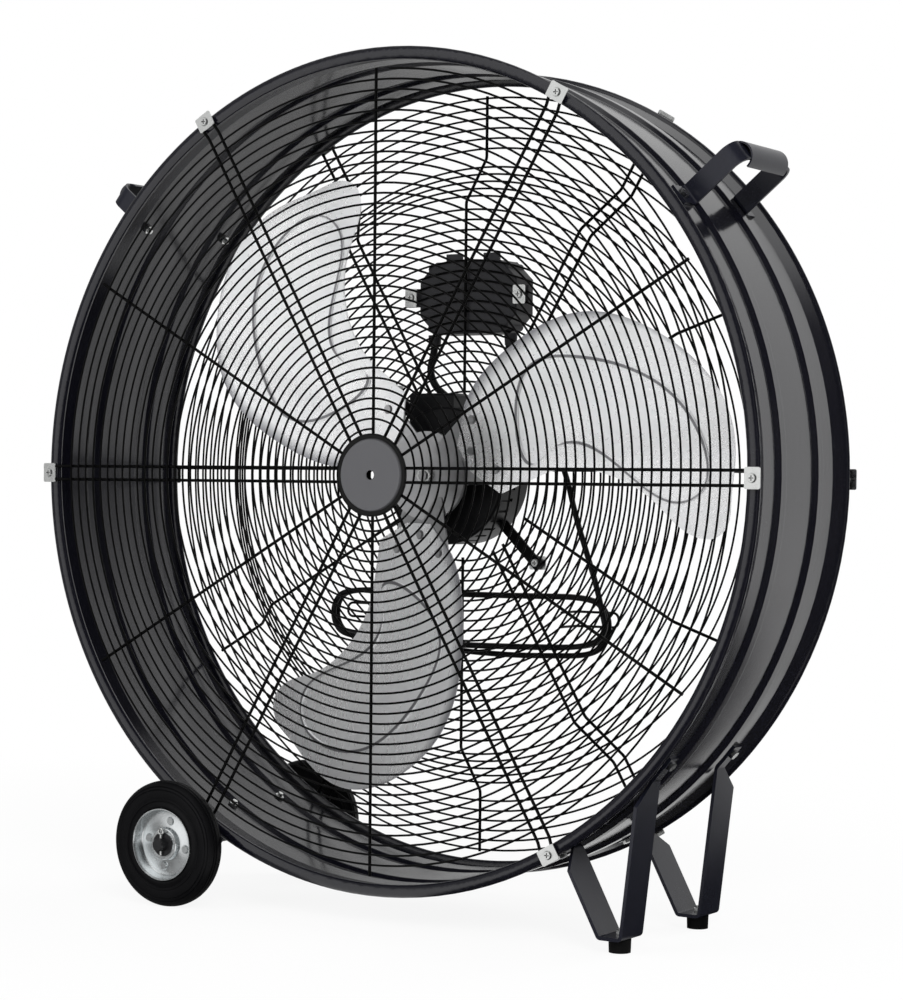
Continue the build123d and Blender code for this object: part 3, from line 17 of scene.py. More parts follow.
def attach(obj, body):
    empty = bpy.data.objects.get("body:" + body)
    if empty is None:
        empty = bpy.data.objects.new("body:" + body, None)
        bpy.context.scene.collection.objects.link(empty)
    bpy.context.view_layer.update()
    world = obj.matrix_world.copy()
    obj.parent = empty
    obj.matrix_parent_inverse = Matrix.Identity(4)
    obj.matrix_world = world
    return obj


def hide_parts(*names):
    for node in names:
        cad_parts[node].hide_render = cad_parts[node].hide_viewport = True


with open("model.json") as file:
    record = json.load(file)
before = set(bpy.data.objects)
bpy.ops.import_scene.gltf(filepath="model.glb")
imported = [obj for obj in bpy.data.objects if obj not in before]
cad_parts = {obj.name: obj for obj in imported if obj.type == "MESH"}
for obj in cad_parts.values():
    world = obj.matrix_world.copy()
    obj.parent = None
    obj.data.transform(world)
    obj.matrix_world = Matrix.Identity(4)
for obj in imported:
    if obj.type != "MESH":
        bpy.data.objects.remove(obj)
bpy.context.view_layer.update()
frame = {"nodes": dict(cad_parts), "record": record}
solids = frame["nodes"]
print("solids loaded:", len(solids))

# %% [markdown]
# ## The camera
# The picture is taken from the front right, at about the height of the fan's axis, with a long
# lens. It is upright, so the sensor's 36 mm lie along its height. The lens looks slightly down and
# the fan stands above the middle of its view. Turning the camera would change the perspective, so
# the lens is shifted instead.

# %% Camera
axis_height = 0.514
view_yaw = math.radians(32.5418)
view_pitch = math.radians(2.79996)
view_roll = math.radians(0.54539)

backwards = Vector(
    (
        math.sin(view_yaw) * math.cos(view_pitch),
        -math.cos(view_yaw) * math.cos(view_pitch),
        math.sin(view_pitch),
    )
)
level = Vector((math.cos(view_yaw), math.sin(view_yaw), 0))
upwards = backwards.cross(level)
right = level * math.cos(view_roll) + upwards * math.sin(view_roll)
top = upwards * math.cos(view_roll) - level * math.sin(view_roll)

lens = bpy.data.cameras.new("camera")
lens.sensor_width = 36
lens.lens = 92.163
lens.shift_x = 0.01356
lens.shift_y = 0.10693
lens.clip_end = 50
camera = bpy.data.objects.new("camera", lens)
bpy.context.scene.collection.objects.link(camera)
turn = Matrix((right, top, backwards)).transposed().to_4x4()
camera_place = Vector((1.62277, -2.52154, 0.50717))
camera.matrix_world = Matrix.Translation(camera_place) @ turn
bpy.context.scene.camera = camera
print("camera distance:", round(camera_place.length, 2), "m")

# %% [markdown]
# ## The power cord and the motor cable
# The power cord leaves the switch box, drops in a loose curve behind the rear guard, and is wound
# twice round two wire hooks. A NURBS curve of order 3 suits it: the line runs smoothly inside the
# corners of its control points, as a stiff round cable does. Blender widens a curve's box by the
# radius of its points, so each point carries the cord's real radius and the bevel is 1.

# %% Helpers for cords
guard_back = 0.08015  # rear side of the rear guard's sunk middle
cord_radius = 0.0034
cable_radius = 0.0045


def ride_with(piece, body):
    """Fix a finished piece to a body."""
    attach(piece, body)


def laid_cord(name, points, radius):
    """A round cord along a smooth line that follows the points."""
    line = bpy.data.curves.new(name, "CURVE")
    line.dimensions = "3D"
    line.bevel_depth = 1.0
    line.bevel_resolution = 5
    line.resolution_u = 10
    line.use_fill_caps = True
    spline = line.splines.new("NURBS")
    spline.points.add(len(points) - 1)
    for control, point in zip(spline.points, points):
        control.co = (*point, 1)
        control.radius = radius
    spline.order_u = 3
    spline.use_endpoint_u = True
    cord = bpy.data.objects.new(name, line)
    bpy.context.scene.collection.objects.link(cord)
    print(name, "control points:", len(points))
    return cord


def from_axis(points):
    """Points whose height is given from the drum's axis, as points above the floor."""
    return [(x, y, axis_height + z) for x, y, z in points]


# %% [markdown]
# ## Winding the hank
# The part that hangs is drawn point by point. The wound turns come from a formula, because each
# turn repeats the last one a layer further back: a long run to the left, round the left hook, a
# long run back that moves on to the next layer, and round the right hook. Long runs sag a little.
# Each end is half an octagon of control points, which the curve rounds off.

# %% Power cord
box_low = 0.170  # underside of the switch box, above the axis
box_depth = 0.037
seat_gap = 0.00005  # between two pieces that touch
box_middle_y = guard_back + seat_gap + box_depth / 2
cord_clearance = 0.002
layer_gap = 0.0013
cord_y = guard_back + cord_radius + cord_clearance
layer_pitch = 2 * cord_radius + layer_gap
hank_turns = 2
hank_top = -0.140
hank_bottom = -0.199
hank_half_length = 0.190
hank_centre = -0.004
hank_sag = 0.004
hook_reach = 0.035  # the part of a run's end that bends round a hook
arrival_step = 0.022  # straight on from the hanging part, before the first bend
tail_drop = 0.010
tail_turn_x = -0.045
half_corner = 22.5  # half the angle between neighbouring corners of an octagon

hanging_part = [
    (0.050, box_middle_y, box_low - seat_gap),
    (0.051, box_middle_y, box_low - 0.040),
    (0.072, box_middle_y - 0.002, 0.082),
    (0.108, cord_y + 0.010, 0.047),
    (0.132, cord_y + 0.006, 0.004),
    (0.147, cord_y + 0.003, -0.046),
    (0.165, cord_y + 0.001, -0.092),
    (0.178, cord_y, -0.127),
    (0.186, cord_y, -0.158),
]


def hank_end(side, low, layer):
    """Corners round one end of the hank: downwards on the right (side 1), upwards on the left."""
    radius = (hank_top - low) / 2
    corner = radius / math.cos(math.radians(half_corner))
    centre = hank_centre + side * (hank_half_length - radius)
    corners = []
    for step in (3, 1, -1, -3):
        angle = math.radians(side * step * half_corner)
        x = centre + side * corner * math.cos(angle)
        z = (hank_top + low) / 2 + corner * math.sin(angle)
        corners.append((x, cord_y + layer_pitch * layer, z))
    return corners


def hank_run(height, start_x, end_x, first_layer, last_layer, sag):
    """Inner points of a long run, which sags and may move on to the next layer."""
    points = []
    for share in (0.25, 0.5, 0.75):
        x = start_x + (end_x - start_x) * share
        layer = first_layer + (last_layer - first_layer) * share
        sagged = height - sag * math.sin(math.pi * share)
        points.append((x, cord_y + layer_pitch * layer, sagged))
    return points


hank_left = hank_centre - hank_half_length + hook_reach
hank_right = hank_centre + hank_half_length - hook_reach
arriving = (Vector(hanging_part[-1]) - Vector(hanging_part[-2])).normalized()
wound_part = [tuple(Vector(hanging_part[-1]) + arriving * arrival_step)]
wound_part += hank_end(1, hank_bottom, 0)[3:]
for layer in range(hank_turns):
    wound_part += hank_run(hank_bottom, hank_right, hank_left, layer, layer, hank_sag)
    wound_part += hank_end(-1, hank_bottom, layer)
    wound_part += hank_run(hank_top, hank_left, hank_right, layer, layer + 1, hank_sag / 2)
    lowest = hank_bottom - (tail_drop if layer == hank_turns - 1 else 0)
    wound_part += hank_end(1, lowest, layer + 1)
tail_low = hank_bottom - tail_drop
tail_y = cord_y + layer_pitch * hank_turns
wound_part += hank_run(tail_low, hank_right, tail_turn_x, hank_turns, hank_turns, hank_sag)
wound_part += [
    (tail_turn_x, tail_y, tail_low),
    (tail_turn_x - 0.034, tail_y, tail_low - 0.014),
    (tail_turn_x - 0.050, tail_y, tail_low - 0.034),
]

cord_route = from_axis(hanging_part + wound_part)
power_cord = laid_cord("cord_sheath", cord_route, cord_radius)
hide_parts("power_cord", "cord_hank")
ride_with(power_cord, "root")

# %% [markdown]
# ## The cable to the motor
# A short thick cable hangs from the same box and curves forwards into the back of the terminal box
# on the motor. It is drawn point by point, and its last piece runs straight into the hole.

# %% Motor cable
entry_x = -0.026
entry_y = 0.07285
entry_z = 0.0905
cable_x = -0.057
motor_cable_route = from_axis(
    [
        (cable_x, box_middle_y, box_low - seat_gap),
        (cable_x, box_middle_y, box_low - 0.020),
        (cable_x - 0.007, box_middle_y - 0.001, box_low - 0.042),
        (-0.054, guard_back + 0.015, 0.108),
        (-0.037, guard_back + 0.012, 0.097),
        (entry_x, guard_back + 0.007, entry_z),
        (entry_x, entry_y, entry_z),
    ]
)
motor_cable = laid_cord("motor_cable_sheath", motor_cable_route, cable_radius)
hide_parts("motor_cable")
ride_with(motor_cable, "root")

# %% [markdown]
# ## Shader maths
# A finish is a small network of shader nodes. Written with Python's own operators it reads like
# a formula, so one class wraps a socket, one wraps the tree that the sockets belong to, and one
# adds what finishes need: noise, blends of colours, distances, corners and relief.


# %% Signals and networks
class Signal:
    """A value that changes over a surface, with Python's arithmetic."""

    def __init__(self, network, socket):
        self.network = network
        self.socket = socket

    def maths(self, operation, first, second):
        return self.network.node("ShaderNodeMath", {"operation": operation}, {0: first, 1: second})

    def __add__(self, other):
        return self.maths("ADD", self, other)

    __radd__ = __add__

    def __mul__(self, other):
        return self.maths("MULTIPLY", self, other)

    __rmul__ = __mul__

    def __sub__(self, other):
        return self.maths("SUBTRACT", self, other)

    def __rsub__(self, other):
        return self.maths("SUBTRACT", other, self)


class Network:
    """A tree of shader nodes that are added one by one."""

    def __init__(self, tree):
        self.tree = tree
        tree.nodes.clear()

    def node(self, kind, settings=None, inputs=None, output=0):
        """Any node: its settings first, then the values or links of its sockets."""
        made = self.tree.nodes.new(kind)
        for key, value in (settings or {}).items():
            if key == "stops":
                self.set_stops(made.color_ramp, value)
            else:
                setattr(made, key, value)
        for key, value in (inputs or {}).items():
            self.feed(made.inputs[key], value)
        return Signal(self, made.outputs[output])

    def feed(self, socket, value):
        """Link a signal to a socket, or write a plain value into it."""
        if isinstance(value, Signal):
            self.tree.links.new(value.socket, socket)
        else:
            socket.default_value = value

    def set_stops(self, ramp, shades):
        """Shades of grey along a ramp, as (position, shade) from 0 to 1, eased between."""
        ramp.interpolation = "EASE"
        for stop, (position, shade) in zip(ramp.elements, (shades[0], shades[-1])):
            stop.position = position
            stop.color = (shade, shade, shade, 1)
        for position, shade in shades[1:-1]:
            ramp.elements.new(position).color = (shade, shade, shade, 1)

    def ramp(self, signal, low, high):
        """0 below low, 1 above high, straight between."""
        return self.node("ShaderNodeMapRange", inputs={0: signal, 1: low, 2: high})


# %% Finishes
class Finish(Network):
    """A material with one surface shader."""

    def __init__(self, name):
        self.material = bpy.data.materials.new(name)
        self.material.use_nodes = True
        super().__init__(self.material.node_tree)
        self.shader = self.tree.nodes.new("ShaderNodeBsdfPrincipled")
        self.surface = self.tree.nodes.new("ShaderNodeOutputMaterial").inputs["Surface"]
        self.tree.links.new(self.shader.outputs["BSDF"], self.surface)
        self.place = self.node("ShaderNodeTexCoord", output="Object")
        print("finish:", name)

    def set(self, **values):
        """Sockets of the surface shader, named with underscores for spaces."""
        for key, value in values.items():
            self.feed(self.shader.inputs[key.replace("_", " ")], value)

    def noise(self, scale, detail=2.0, stretch=(1, 1, 1)):
        """Noise between 0 and 1, finer with a larger scale, squeezed along each axis by stretch."""
        where = self.node("ShaderNodeMapping", inputs={"Vector": self.place, "Scale": stretch})
        return self.node(
            "ShaderNodeTexNoise", inputs={"Vector": where, "Scale": scale, "Detail": detail}
        )

    def blend(self, share, first, second):
        """From one colour to another as share goes from 0 to 1."""
        return self.node(
            "ShaderNodeMix",
            {"data_type": "RGBA"},
            {0: share, 6: (*first, 1) if isinstance(first, tuple) else first, 7: (*second, 1)},
            output=2,
        )

    def length(self, vector):
        """The length of a vector, in metres."""
        return self.node(
            "ShaderNodeVectorMath", {"operation": "LENGTH"}, {0: vector}, output="Value"
        )

    def crevice(self, reach):
        """1 on open surfaces, towards 0 in corners narrower than reach metres."""
        return self.node(
            "ShaderNodeAmbientOcclusion", {"samples": 8}, {"Distance": reach}, output="AO"
        )

    def thickness(self, reach):
        """Towards 0 where the solid is much thinner than reach metres, 1 where it is thicker."""
        return self.node(
            "ShaderNodeAmbientOcclusion",
            {"samples": 32, "inside": True, "only_local": True},
            {"Distance": reach},
            output="AO",
        )

    def polar(self):
        """Distance from the fan's axis in metres, and the angle round it in turns."""
        centred = self.node(
            "ShaderNodeMapping",
            inputs={"Vector": self.place, "Location": (0, 0, -axis_height), "Scale": (1, 0, 1)},
        )
        x = self.node("ShaderNodeSeparateXYZ", inputs={0: centred}, output="X")
        z = self.node("ShaderNodeSeparateXYZ", inputs={0: centred}, output="Z")
        angle = self.node("ShaderNodeMath", {"operation": "ARCTAN2"}, {0: z, 1: x})
        return self.length(centred), angle * (1 / math.tau)

    def bump(self, height, depth):
        """Relief of a height between 0 and 1 that stands for depth metres."""
        relief = self.node(
            "ShaderNodeBump",
            inputs={"Height": height, "Distance": depth, "Strength": 1.0},
            output="Normal",
        )
        self.set(Normal=relief)


# %% [markdown]
# ## Painted steel
# The drum, the guards and the legs are painted. Powder coat is slightly wavy, like orange peel,
# and collects a little dust, which shows as soft changes of gloss rather than of colour. The wires
# are nearly dull, because a bright line on every wire would hide the fan behind them.


# %% Paints
def paint(name, colour, gloss, peel, specular, dust=0.25):
    """Powder coat: a dark colour, a wavy skin of peel metres, and dust that dulls it in patches."""
    finish = Finish(name)
    patches = finish.ramp(finish.noise(7, 4), 0.35, 0.75)
    specks = finish.ramp(finish.noise(900, 1), 0.68, 0.78)
    dusty = tuple(shade * 1.6 + 0.012 for shade in colour)
    finish.set(
        Base_Color=finish.blend(patches * dust + specks * 0.2, colour, dusty),
        Roughness=patches * 0.10 + specks * 0.15 + gloss,
        Specular_IOR_Level=specular,
    )
    finish.bump(finish.noise(330, 2), peel)
    return finish


drum_paint = paint("drum powder coat", (0.004, 0.004, 0.007), 0.12, 0.00001, 0.62, dust=0.10)
guard_paint = paint("guard wire paint", (0.001, 0.001, 0.001), 0.34, 0.00005, 0.08, dust=0.05)
leg_paint = paint("leg powder coat", (0.007, 0.0075, 0.013), 0.26, 0.00006, 0.35)
motor_paint = paint("motor paint", (0.003, 0.003, 0.0035), 0.36, 0.00012, 0.2, dust=0.1)
axle_black = paint("black oxide", (0.009, 0.009, 0.010), 0.32, 0.00004, 0.4)

# %% [markdown]
# ## The disc in the middle of the guard
# The disc's face is grey and its low rim black, as if the grey had been sprayed through a round
# mask. The step between the two follows the distance from the fan's axis, so the mesh needs no
# second material.

# %% Guard disc
disc_face_radius = 0.0405
colour_step = 0.0012
disc_paint = Finish("guard disc paint")
disc_radius, _ = disc_paint.polar()
outer_band = disc_paint.ramp(disc_radius, disc_face_radius, disc_face_radius + colour_step)
grain = disc_paint.noise(1400, 2)
disc_paint.set(
    Base_Color=disc_paint.blend(outer_band, (0.075, 0.075, 0.080), (0.001, 0.001, 0.001)),
    Roughness=grain * 0.12 + 0.38,
    Specular_IOR_Level=0.25,
)
disc_paint.bump(grain, 0.00004)

# %% [markdown]
# ## Bare and plated metal
# Bright zinc plate is a metal with faint cloudy patches. It mirrors its surroundings, so small
# recesses only read as such when painted shade darkens their corners.


# %% Plated metals
def plated(name, colour, roughness, cloud_scale, corner=0.004):
    """Metal plate: cloudy, with fine scratches, and painted shade in corners of about corner
    metres.
    """
    finish = Finish(name)
    clouds = finish.ramp(finish.noise(cloud_scale, 5), 0.3, 0.7)
    scratches = finish.noise(2500, 1, (1, 6, 1))
    duller = tuple(shade * 0.80 for shade in colour)
    cloudy = finish.blend(clouds, duller, colour)
    # Painted shade: the colour darkens in corners and recesses narrower than corner metres.
    corner_shade = finish.ramp(finish.crevice(corner), 0.80, 0.30)
    finish.set(
        Base_Color=finish.blend(corner_shade, cloudy, (0.02, 0.02, 0.02)),
        Metallic=1.0,
        Roughness=clouds * 0.12 + scratches * 0.06 + roughness,
    )
    finish.bump(scratches, 0.00002)
    return finish


zinc = plated("bright zinc plate", (0.78, 0.79, 0.78), 0.20, 160)
wheel_zinc = plated("galvanised wheel", (0.88, 0.91, 0.92), 0.16, 60, 0.005)
steel = plated("machined steel", (0.60, 0.60, 0.61), 0.28, 60)
can_metal = plated("drawn aluminium can", (0.80, 0.80, 0.81), 0.30, 40)

# %% [markdown]
# ## The blades
# The blades are satin aluminium sheet that still shows the direction in which it was rolled, as
# long fine streaks. Two marks of painted shade break up the pale sheet. A blade's leading edge is
# bent away, so it mirrors something darker, and a dark band of painted shade along it stands for
# that: a curve holds the edge's angle at each distance from the axis, measured on the upper right
# blade, and the other blades are the same after a third of a turn. And a loop is pressed into the
# sheet, and its relief is painted dark as painted shade. The solid is thicker there, so a test of
# thickness finds it.

# %% Blade sheet
blade_edge = [  # distance from the axis in metres, angle of the leading edge in degrees
    (0.10, 54.8),
    (0.13, 54.8),
    (0.17, 52.2),
    (0.21, 47.9),
    (0.26, 43.4),
    (0.30, 37.7),
    (0.34, 30.5),
    (0.38, 19.5),
]
sector = 120
sector_start = -40  # a blade lies clear of both ends of its sector
curve_reach = 0.5  # the distance that the curve's far end stands for
# The painted shade along the leading edge is full up to the first distance and gone at the second.
edge_shade_start, edge_shade_end = 0.002, 0.016  # metres in from the leading edge
loop_thickness = 0.0035
whole_sectors = 3.0  # added so that the count stays above zero


def in_sector(degrees):
    """An angle as a share of the blade's third of the circle."""
    return (degrees - sector_start) / sector


blade_metal = Finish("rolled aluminium")
streaks = blade_metal.noise(260, 3, (1, 4, 0.08))
stains = blade_metal.ramp(blade_metal.noise(9, 4), 0.4, 0.75)
away, turns = blade_metal.polar()
sectors = (turns - sector_start / 360) * (360 / sector) + whole_sectors
here = blade_metal.node("ShaderNodeMath", {"operation": "FRACT"}, {0: sectors})
edge = blade_metal.node("ShaderNodeFloatCurve", inputs={"Value": away * (1 / curve_reach)})
edge_curve = edge.socket.node.mapping
knots = edge_curve.curves[0].points
knots[0].location = (0.0, in_sector(blade_edge[0][1]))
knots[1].location = (1.0, 0.2)  # past the blade's tip
for distance, degrees in blade_edge:
    knots.new(distance / curve_reach, in_sector(degrees))
edge_curve.update()
inboard = (edge - here) * away * (math.tau * sector / 360)
# Painted shade: the colour darkens along each blade's leading edge, standing for the darker
# reflection of its bend.
leading_edge_shade = blade_metal.ramp(inboard, edge_shade_end, edge_shade_start)
# Painted shade: the pressed loop, found by its thickness, is coloured dark for the shade along its
# relief.
pressed_loop_shade = blade_metal.ramp(blade_metal.thickness(loop_thickness), 0.60, 0.82)
sheet_colour = blade_metal.blend(stains, (0.96, 0.96, 0.97), (0.88, 0.89, 0.90))
edge_shaded_colour = blade_metal.blend(leading_edge_shade, sheet_colour, (0.32, 0.32, 0.34))
blade_metal.set(
    Base_Color=blade_metal.blend(pressed_loop_shade, edge_shaded_colour, (0.20, 0.20, 0.21)),
    Metallic=0.75,
    Roughness=streaks * 0.10 + stains * 0.04 + 0.22,
)
blade_metal.bump(streaks, 0.00001)

# %% [markdown]
# ## Inside the motor
# The iron core is a stack of thin stamped sheets, so it shows fine lines across the axis. The coils
# are varnished copper wire. They only show once the fan is taken apart, so they are kept simple.

# %% Core and coils
core_steel = Finish("stacked laminations")
layers = core_steel.node(
    "ShaderNodeTexWave",
    {"bands_direction": "Y", "wave_profile": "SIN"},
    {"Vector": core_steel.place, "Scale": 300.0, "Distortion": 0.0},
    output="Fac",
)
core_steel.set(
    Base_Color=core_steel.blend(layers, (0.12, 0.12, 0.13), (0.32, 0.32, 0.33)),
    Metallic=1.0,
    Roughness=0.45,
)
core_steel.bump(layers, 0.0002)

winding = Finish("varnished copper wire")
strands = winding.noise(700, 1, (1, 8, 1))
winding.set(
    Base_Color=winding.blend(strands, (0.30, 0.10, 0.03), (0.62, 0.27, 0.10)),
    Metallic=0.8,
    Roughness=0.35,
)
winding.bump(strands, 0.0004)

# %% [markdown]
# ## Plastic, rubber and cloth
# Moulded plastic takes a fine spark-eroded texture from its mould. Rubber scatters light and goes
# grey with dust. The strap round the stowed cord is woven, so it shows a regular net of threads.


# %% Soft and moulded finishes
def moulded(name, colour, roughness, grain_scale, depth, specular, dust=0.12):
    """Moulded plastic or rubber with a fine even grain."""
    finish = Finish(name)
    grain = finish.noise(grain_scale, 2)
    wear = finish.ramp(finish.noise(14, 4), 0.45, 0.8)
    worn = tuple(shade * 1.8 + 0.01 for shade in colour)
    finish.set(
        Base_Color=finish.blend(wear * dust, colour, worn),
        Roughness=grain * 0.10 + wear * 0.08 + roughness,
        Specular_IOR_Level=specular,
    )
    finish.bump(grain, depth)
    return finish


black_plastic = moulded("black housing plastic", (0.020, 0.020, 0.022), 0.42, 1500, 0.00008, 0.2)
knob_plastic = moulded("knob plastic", (0.010, 0.010, 0.011), 0.25, 1800, 0.00002, 0.4)
cord_rubber = moulded("cord sheath", (0.003, 0.003, 0.0035), 0.40, 1200, 0.00003, 0.2)
pad_rubber = moulded("foot rubber", (0.003, 0.003, 0.003), 0.60, 1000, 0.00010, 0.15, dust=0.2)
tyre_rubber = moulded("tyre rubber", (0.002, 0.002, 0.0025), 0.36, 800, 0.00006, 0.12)
nylon = moulded("natural nylon", (0.55, 0.54, 0.50), 0.40, 900, 0.00003, 0.4)

strap_cloth = Finish("woven strap")
threads = strap_cloth.node(
    "ShaderNodeTexChecker", inputs={"Vector": strap_cloth.place, "Scale": 900.0}, output="Fac"
)
strap_cloth.set(
    Base_Color=strap_cloth.blend(threads, (0.010, 0.010, 0.010), (0.022, 0.022, 0.022)),
    Roughness=0.85,
)
strap_cloth.bump(threads, 0.0002)

# %% [markdown]
# ## Giving out the finishes
# Every solid arrives with the name of its finish, so one table and one loop dress them all.

# %% Finishes on the solids
finishes = {
    "drum_paint": drum_paint,
    "guard_paint": guard_paint,
    "disc_paint": disc_paint,
    "leg_paint": leg_paint,
    "motor_paint": motor_paint,
    "zinc": zinc,
    "wheel_zinc": wheel_zinc,
    "steel": steel,
    "can_metal": can_metal,
    "axle_black": axle_black,
    "blade_metal": blade_metal,
    "core_steel": core_steel,
    "winding": winding,
    "black_plastic": black_plastic,
    "knob_plastic": knob_plastic,
    "cord_rubber": cord_rubber,
    "pad_rubber": pad_rubber,
    "tyre_rubber": tyre_rubber,
    "bush_plastic": nylon,
    "tie_fabric": strap_cloth,
}


def give(piece, finish):
    """Put a finish on every material slot of a piece."""
    if not piece.material_slots:
        piece.data.materials.append(None)
    for place in piece.material_slots:
        place.material = finish.material


for entry in frame["record"]["subparts"]:
    give(solids[entry["node"]], finishes[entry["material_slot"]])
give(power_cord, cord_rubber)
give(motor_cable, cord_rubber)
print("finishes:", len(finishes))

# %% [markdown]
# ## Turned pieces
# A tyre, a wheel rim and a cable's sleeve are all round: one section swept about an axis. The
# section is drawn as a short list of corners, radius first, and bmesh.ops.spin sweeps it.


# %% Helpers for turned pieces
crease_angle = 35


def turned(section, centre, axis, steps):
    """A solid of revolution: section holds (radius, distance along the axis) in metres."""
    along = Vector(axis).normalized()
    outwards = along.orthogonal().normalized()
    middle = Vector(centre)
    shape = bmesh.new()
    corners = []
    for radius, place in section:
        corners.append(shape.verts.new(middle + outwards * radius + along * place))
    edges = [shape.edges.new(pair) for pair in zip(corners, corners[1:] + corners[:1])]
    bmesh.ops.spin(
        shape,
        geom=corners + edges,
        cent=middle,
        axis=along,
        angle=math.tau,
        steps=steps,
        use_merge=True,
    )
    bmesh.ops.remove_doubles(shape, verts=shape.verts, dist=1e-6)
    return shape


def finished(shape, name):
    """Turn a bmesh into an object with smooth faces and crisp edges above the crease angle."""
    bmesh.ops.recalc_face_normals(shape, faces=shape.faces)
    mesh = bpy.data.meshes.new(name)
    shape.to_mesh(mesh)
    shape.free()
    mesh.shade_smooth()
    mesh.set_sharp_from_angle(angle=math.radians(crease_angle))
    piece = bpy.data.objects.new(name, mesh)
    bpy.context.scene.collection.objects.link(piece)
    print(name, "faces:", len(mesh.polygons))
    return piece


# %% [markdown]
# ## Wheels
# Each wheel is a solid rubber tyre on a deep pressed dish. The tyre has raised rings on its sides
# and grooves round its tread. The dish has a rolled lip, a collar round the hub and four rivets.

# %% Wheel sections
wheel_x = -0.272
wheel_radius = 0.075
wheel_middle = 0.143  # distance of a tyre's middle from the drum's middle
half_tyre = [
    (0.0420, 0.0105),
    (0.0432, 0.0126),
    (0.0448, 0.0136),
    (0.0472, 0.0138),
    (0.0490, 0.0128),
    (0.0508, 0.0126),
    (0.0516, 0.0136),
    (0.0540, 0.0138),
    (0.0548, 0.0131),
    (0.0595, 0.0137),
    (0.0640, 0.0134),
    (0.0648, 0.0125),
    (0.0656, 0.0130),
    (0.0676, 0.0125),
    (0.0684, 0.0115),
    (0.0692, 0.0120),
    (0.0712, 0.0107),
    (0.0732, 0.0083),
    (0.0738, 0.0070),
    (0.0726, 0.0066),
    (0.0728, 0.0059),
    (0.0743, 0.0056),
    (0.0747, 0.0034),
    (0.0733, 0.0031),
    (0.0733, 0.0023),
    (0.0749, 0.0020),
    (0.0750, 0.0006),
]
tyre_section = half_tyre + [(radius, -place) for radius, place in reversed(half_tyre)]
dish_face = 0.0015
rim_section = [
    (0.0418, 0.0112),
    (0.0426, 0.0122),
    (0.0430, 0.0132),
    (0.0426, 0.0141),
    (0.0416, 0.0141),
    (0.0409, 0.0133),
    (0.0406, 0.0120),
    (0.0384, 0.0024),
    (0.0374, dish_face),
    (0.0206, dish_face),
    (0.0196, 0.0020),
    (0.0190, 0.0034),
    (0.0186, 0.0084),
    (0.0178, 0.0090),
    (0.0148, 0.0090),
    (0.0146, 0.0100),
    (0.0111, 0.0100),
    (0.0111, -0.0144),
    (0.0140, -0.0144),
    (0.0140, -0.0024),
    (0.0156, -0.0014),
    (0.0366, -0.0014),
    (0.0389, -0.0028),
    (0.0391, -0.0118),
    (0.0418, -0.0118),
]
rivet_circle = 0.0275
rivet_radius = 0.0052
rivet_rise = 0.0020
first_rivet = 80  # angle of the first rivet, in degrees
print("corners of the sections:", len(tyre_section), len(rim_section))

# %% Tyres and rims
for side, place in ((-1, "front"), (1, "rear")):
    hub = Vector((wheel_x, side * wheel_middle, wheel_radius))
    outwards = Vector((0, side, 0))
    tyre = finished(turned(tyre_section, hub, outwards, steps=128), f"{place}_tyre_rubber")
    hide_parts(f"{place}_tyre")
    ride_with(tyre, f"{place}_wheel")
    give(tyre, tyre_rubber)

    shape = turned(rim_section, hub, outwards, steps=96)
    facing = outwards.to_track_quat("Z", "Y").to_matrix().to_4x4()
    for quarter in range(4):
        angle = math.radians(first_rivet + 90 * quarter)
        around = Vector((math.cos(angle), 0, math.sin(angle)))
        spot = hub + around * rivet_circle + outwards * (dish_face + rivet_rise / 2)
        bmesh.ops.create_cone(
            shape,
            cap_ends=True,
            segments=24,
            radius1=rivet_radius,
            radius2=rivet_radius * 0.80,
            depth=rivet_rise,
            matrix=Matrix.Translation(spot) @ facing,
        )
    dish = finished(shape, f"{place}_wheel_dish")
    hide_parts(f"{place}_wheel_rim")
    ride_with(dish, f"{place}_wheel")
    give(dish, wheel_zinc)

# %% [markdown]
# ## Guard wires
# The solids stand for the ring wires with eight flats and long straight steps, which show as
# corners in the picture. Curves with a round section follow the same lines in short steps, and are
# made meshes, because the box of a mesh is the box of what is seen.

# %% Helpers for wires
ring_wire = 0.00125


def round_wires(name, paths, closed):
    """A mesh of round wires along dense lists of points."""
    line = bpy.data.curves.new(name, "CURVE")
    line.dimensions = "3D"
    line.bevel_depth = ring_wire
    line.bevel_resolution = 2
    line.use_fill_caps = True
    for path in paths:
        spline = line.splines.new("POLY")
        spline.points.add(len(path) - 1)
        for control, point in zip(spline.points, path):
            control.co = (*point, 1)
        spline.use_cyclic_u = closed
        spline.use_smooth = True
    drawn = bpy.data.objects.new(name + "_line", line)
    bpy.context.scene.collection.objects.link(drawn)
    found = drawn.evaluated_get(bpy.context.evaluated_depsgraph_get())
    wires = bpy.data.objects.new(name, bpy.data.meshes.new_from_object(found))
    bpy.data.objects.remove(drawn)
    bpy.context.scene.collection.objects.link(wires)
    print(name, "faces:", len(wires.data.polygons))
    return wires


def arc_points(middle, radius, start, sweep, steps, depth):
    """Points of an arc across the drum's axis, without its last one."""
    points = []
    for step in range(steps):
        angle = math.radians(start + sweep * step / steps)
        x = radius * math.cos(angle)
        points.append((x, depth, axis_height + middle + radius * math.sin(angle)))
    return points


# %% [markdown]
# ## The front spiral
# The front guard is one long wire, wound from half circles. Those on the left are centred on the
# fan's axis. Those on the right are centred half a pitch above it and are half a pitch larger, so
# every turn ends a whole pitch further out and the wire never has a kink.

# %% Front spiral
spiral_start = 0.052
spiral_pitch = 0.0115
spiral_turns = 35
spiral_y = -0.12065
half_circle_steps = 72

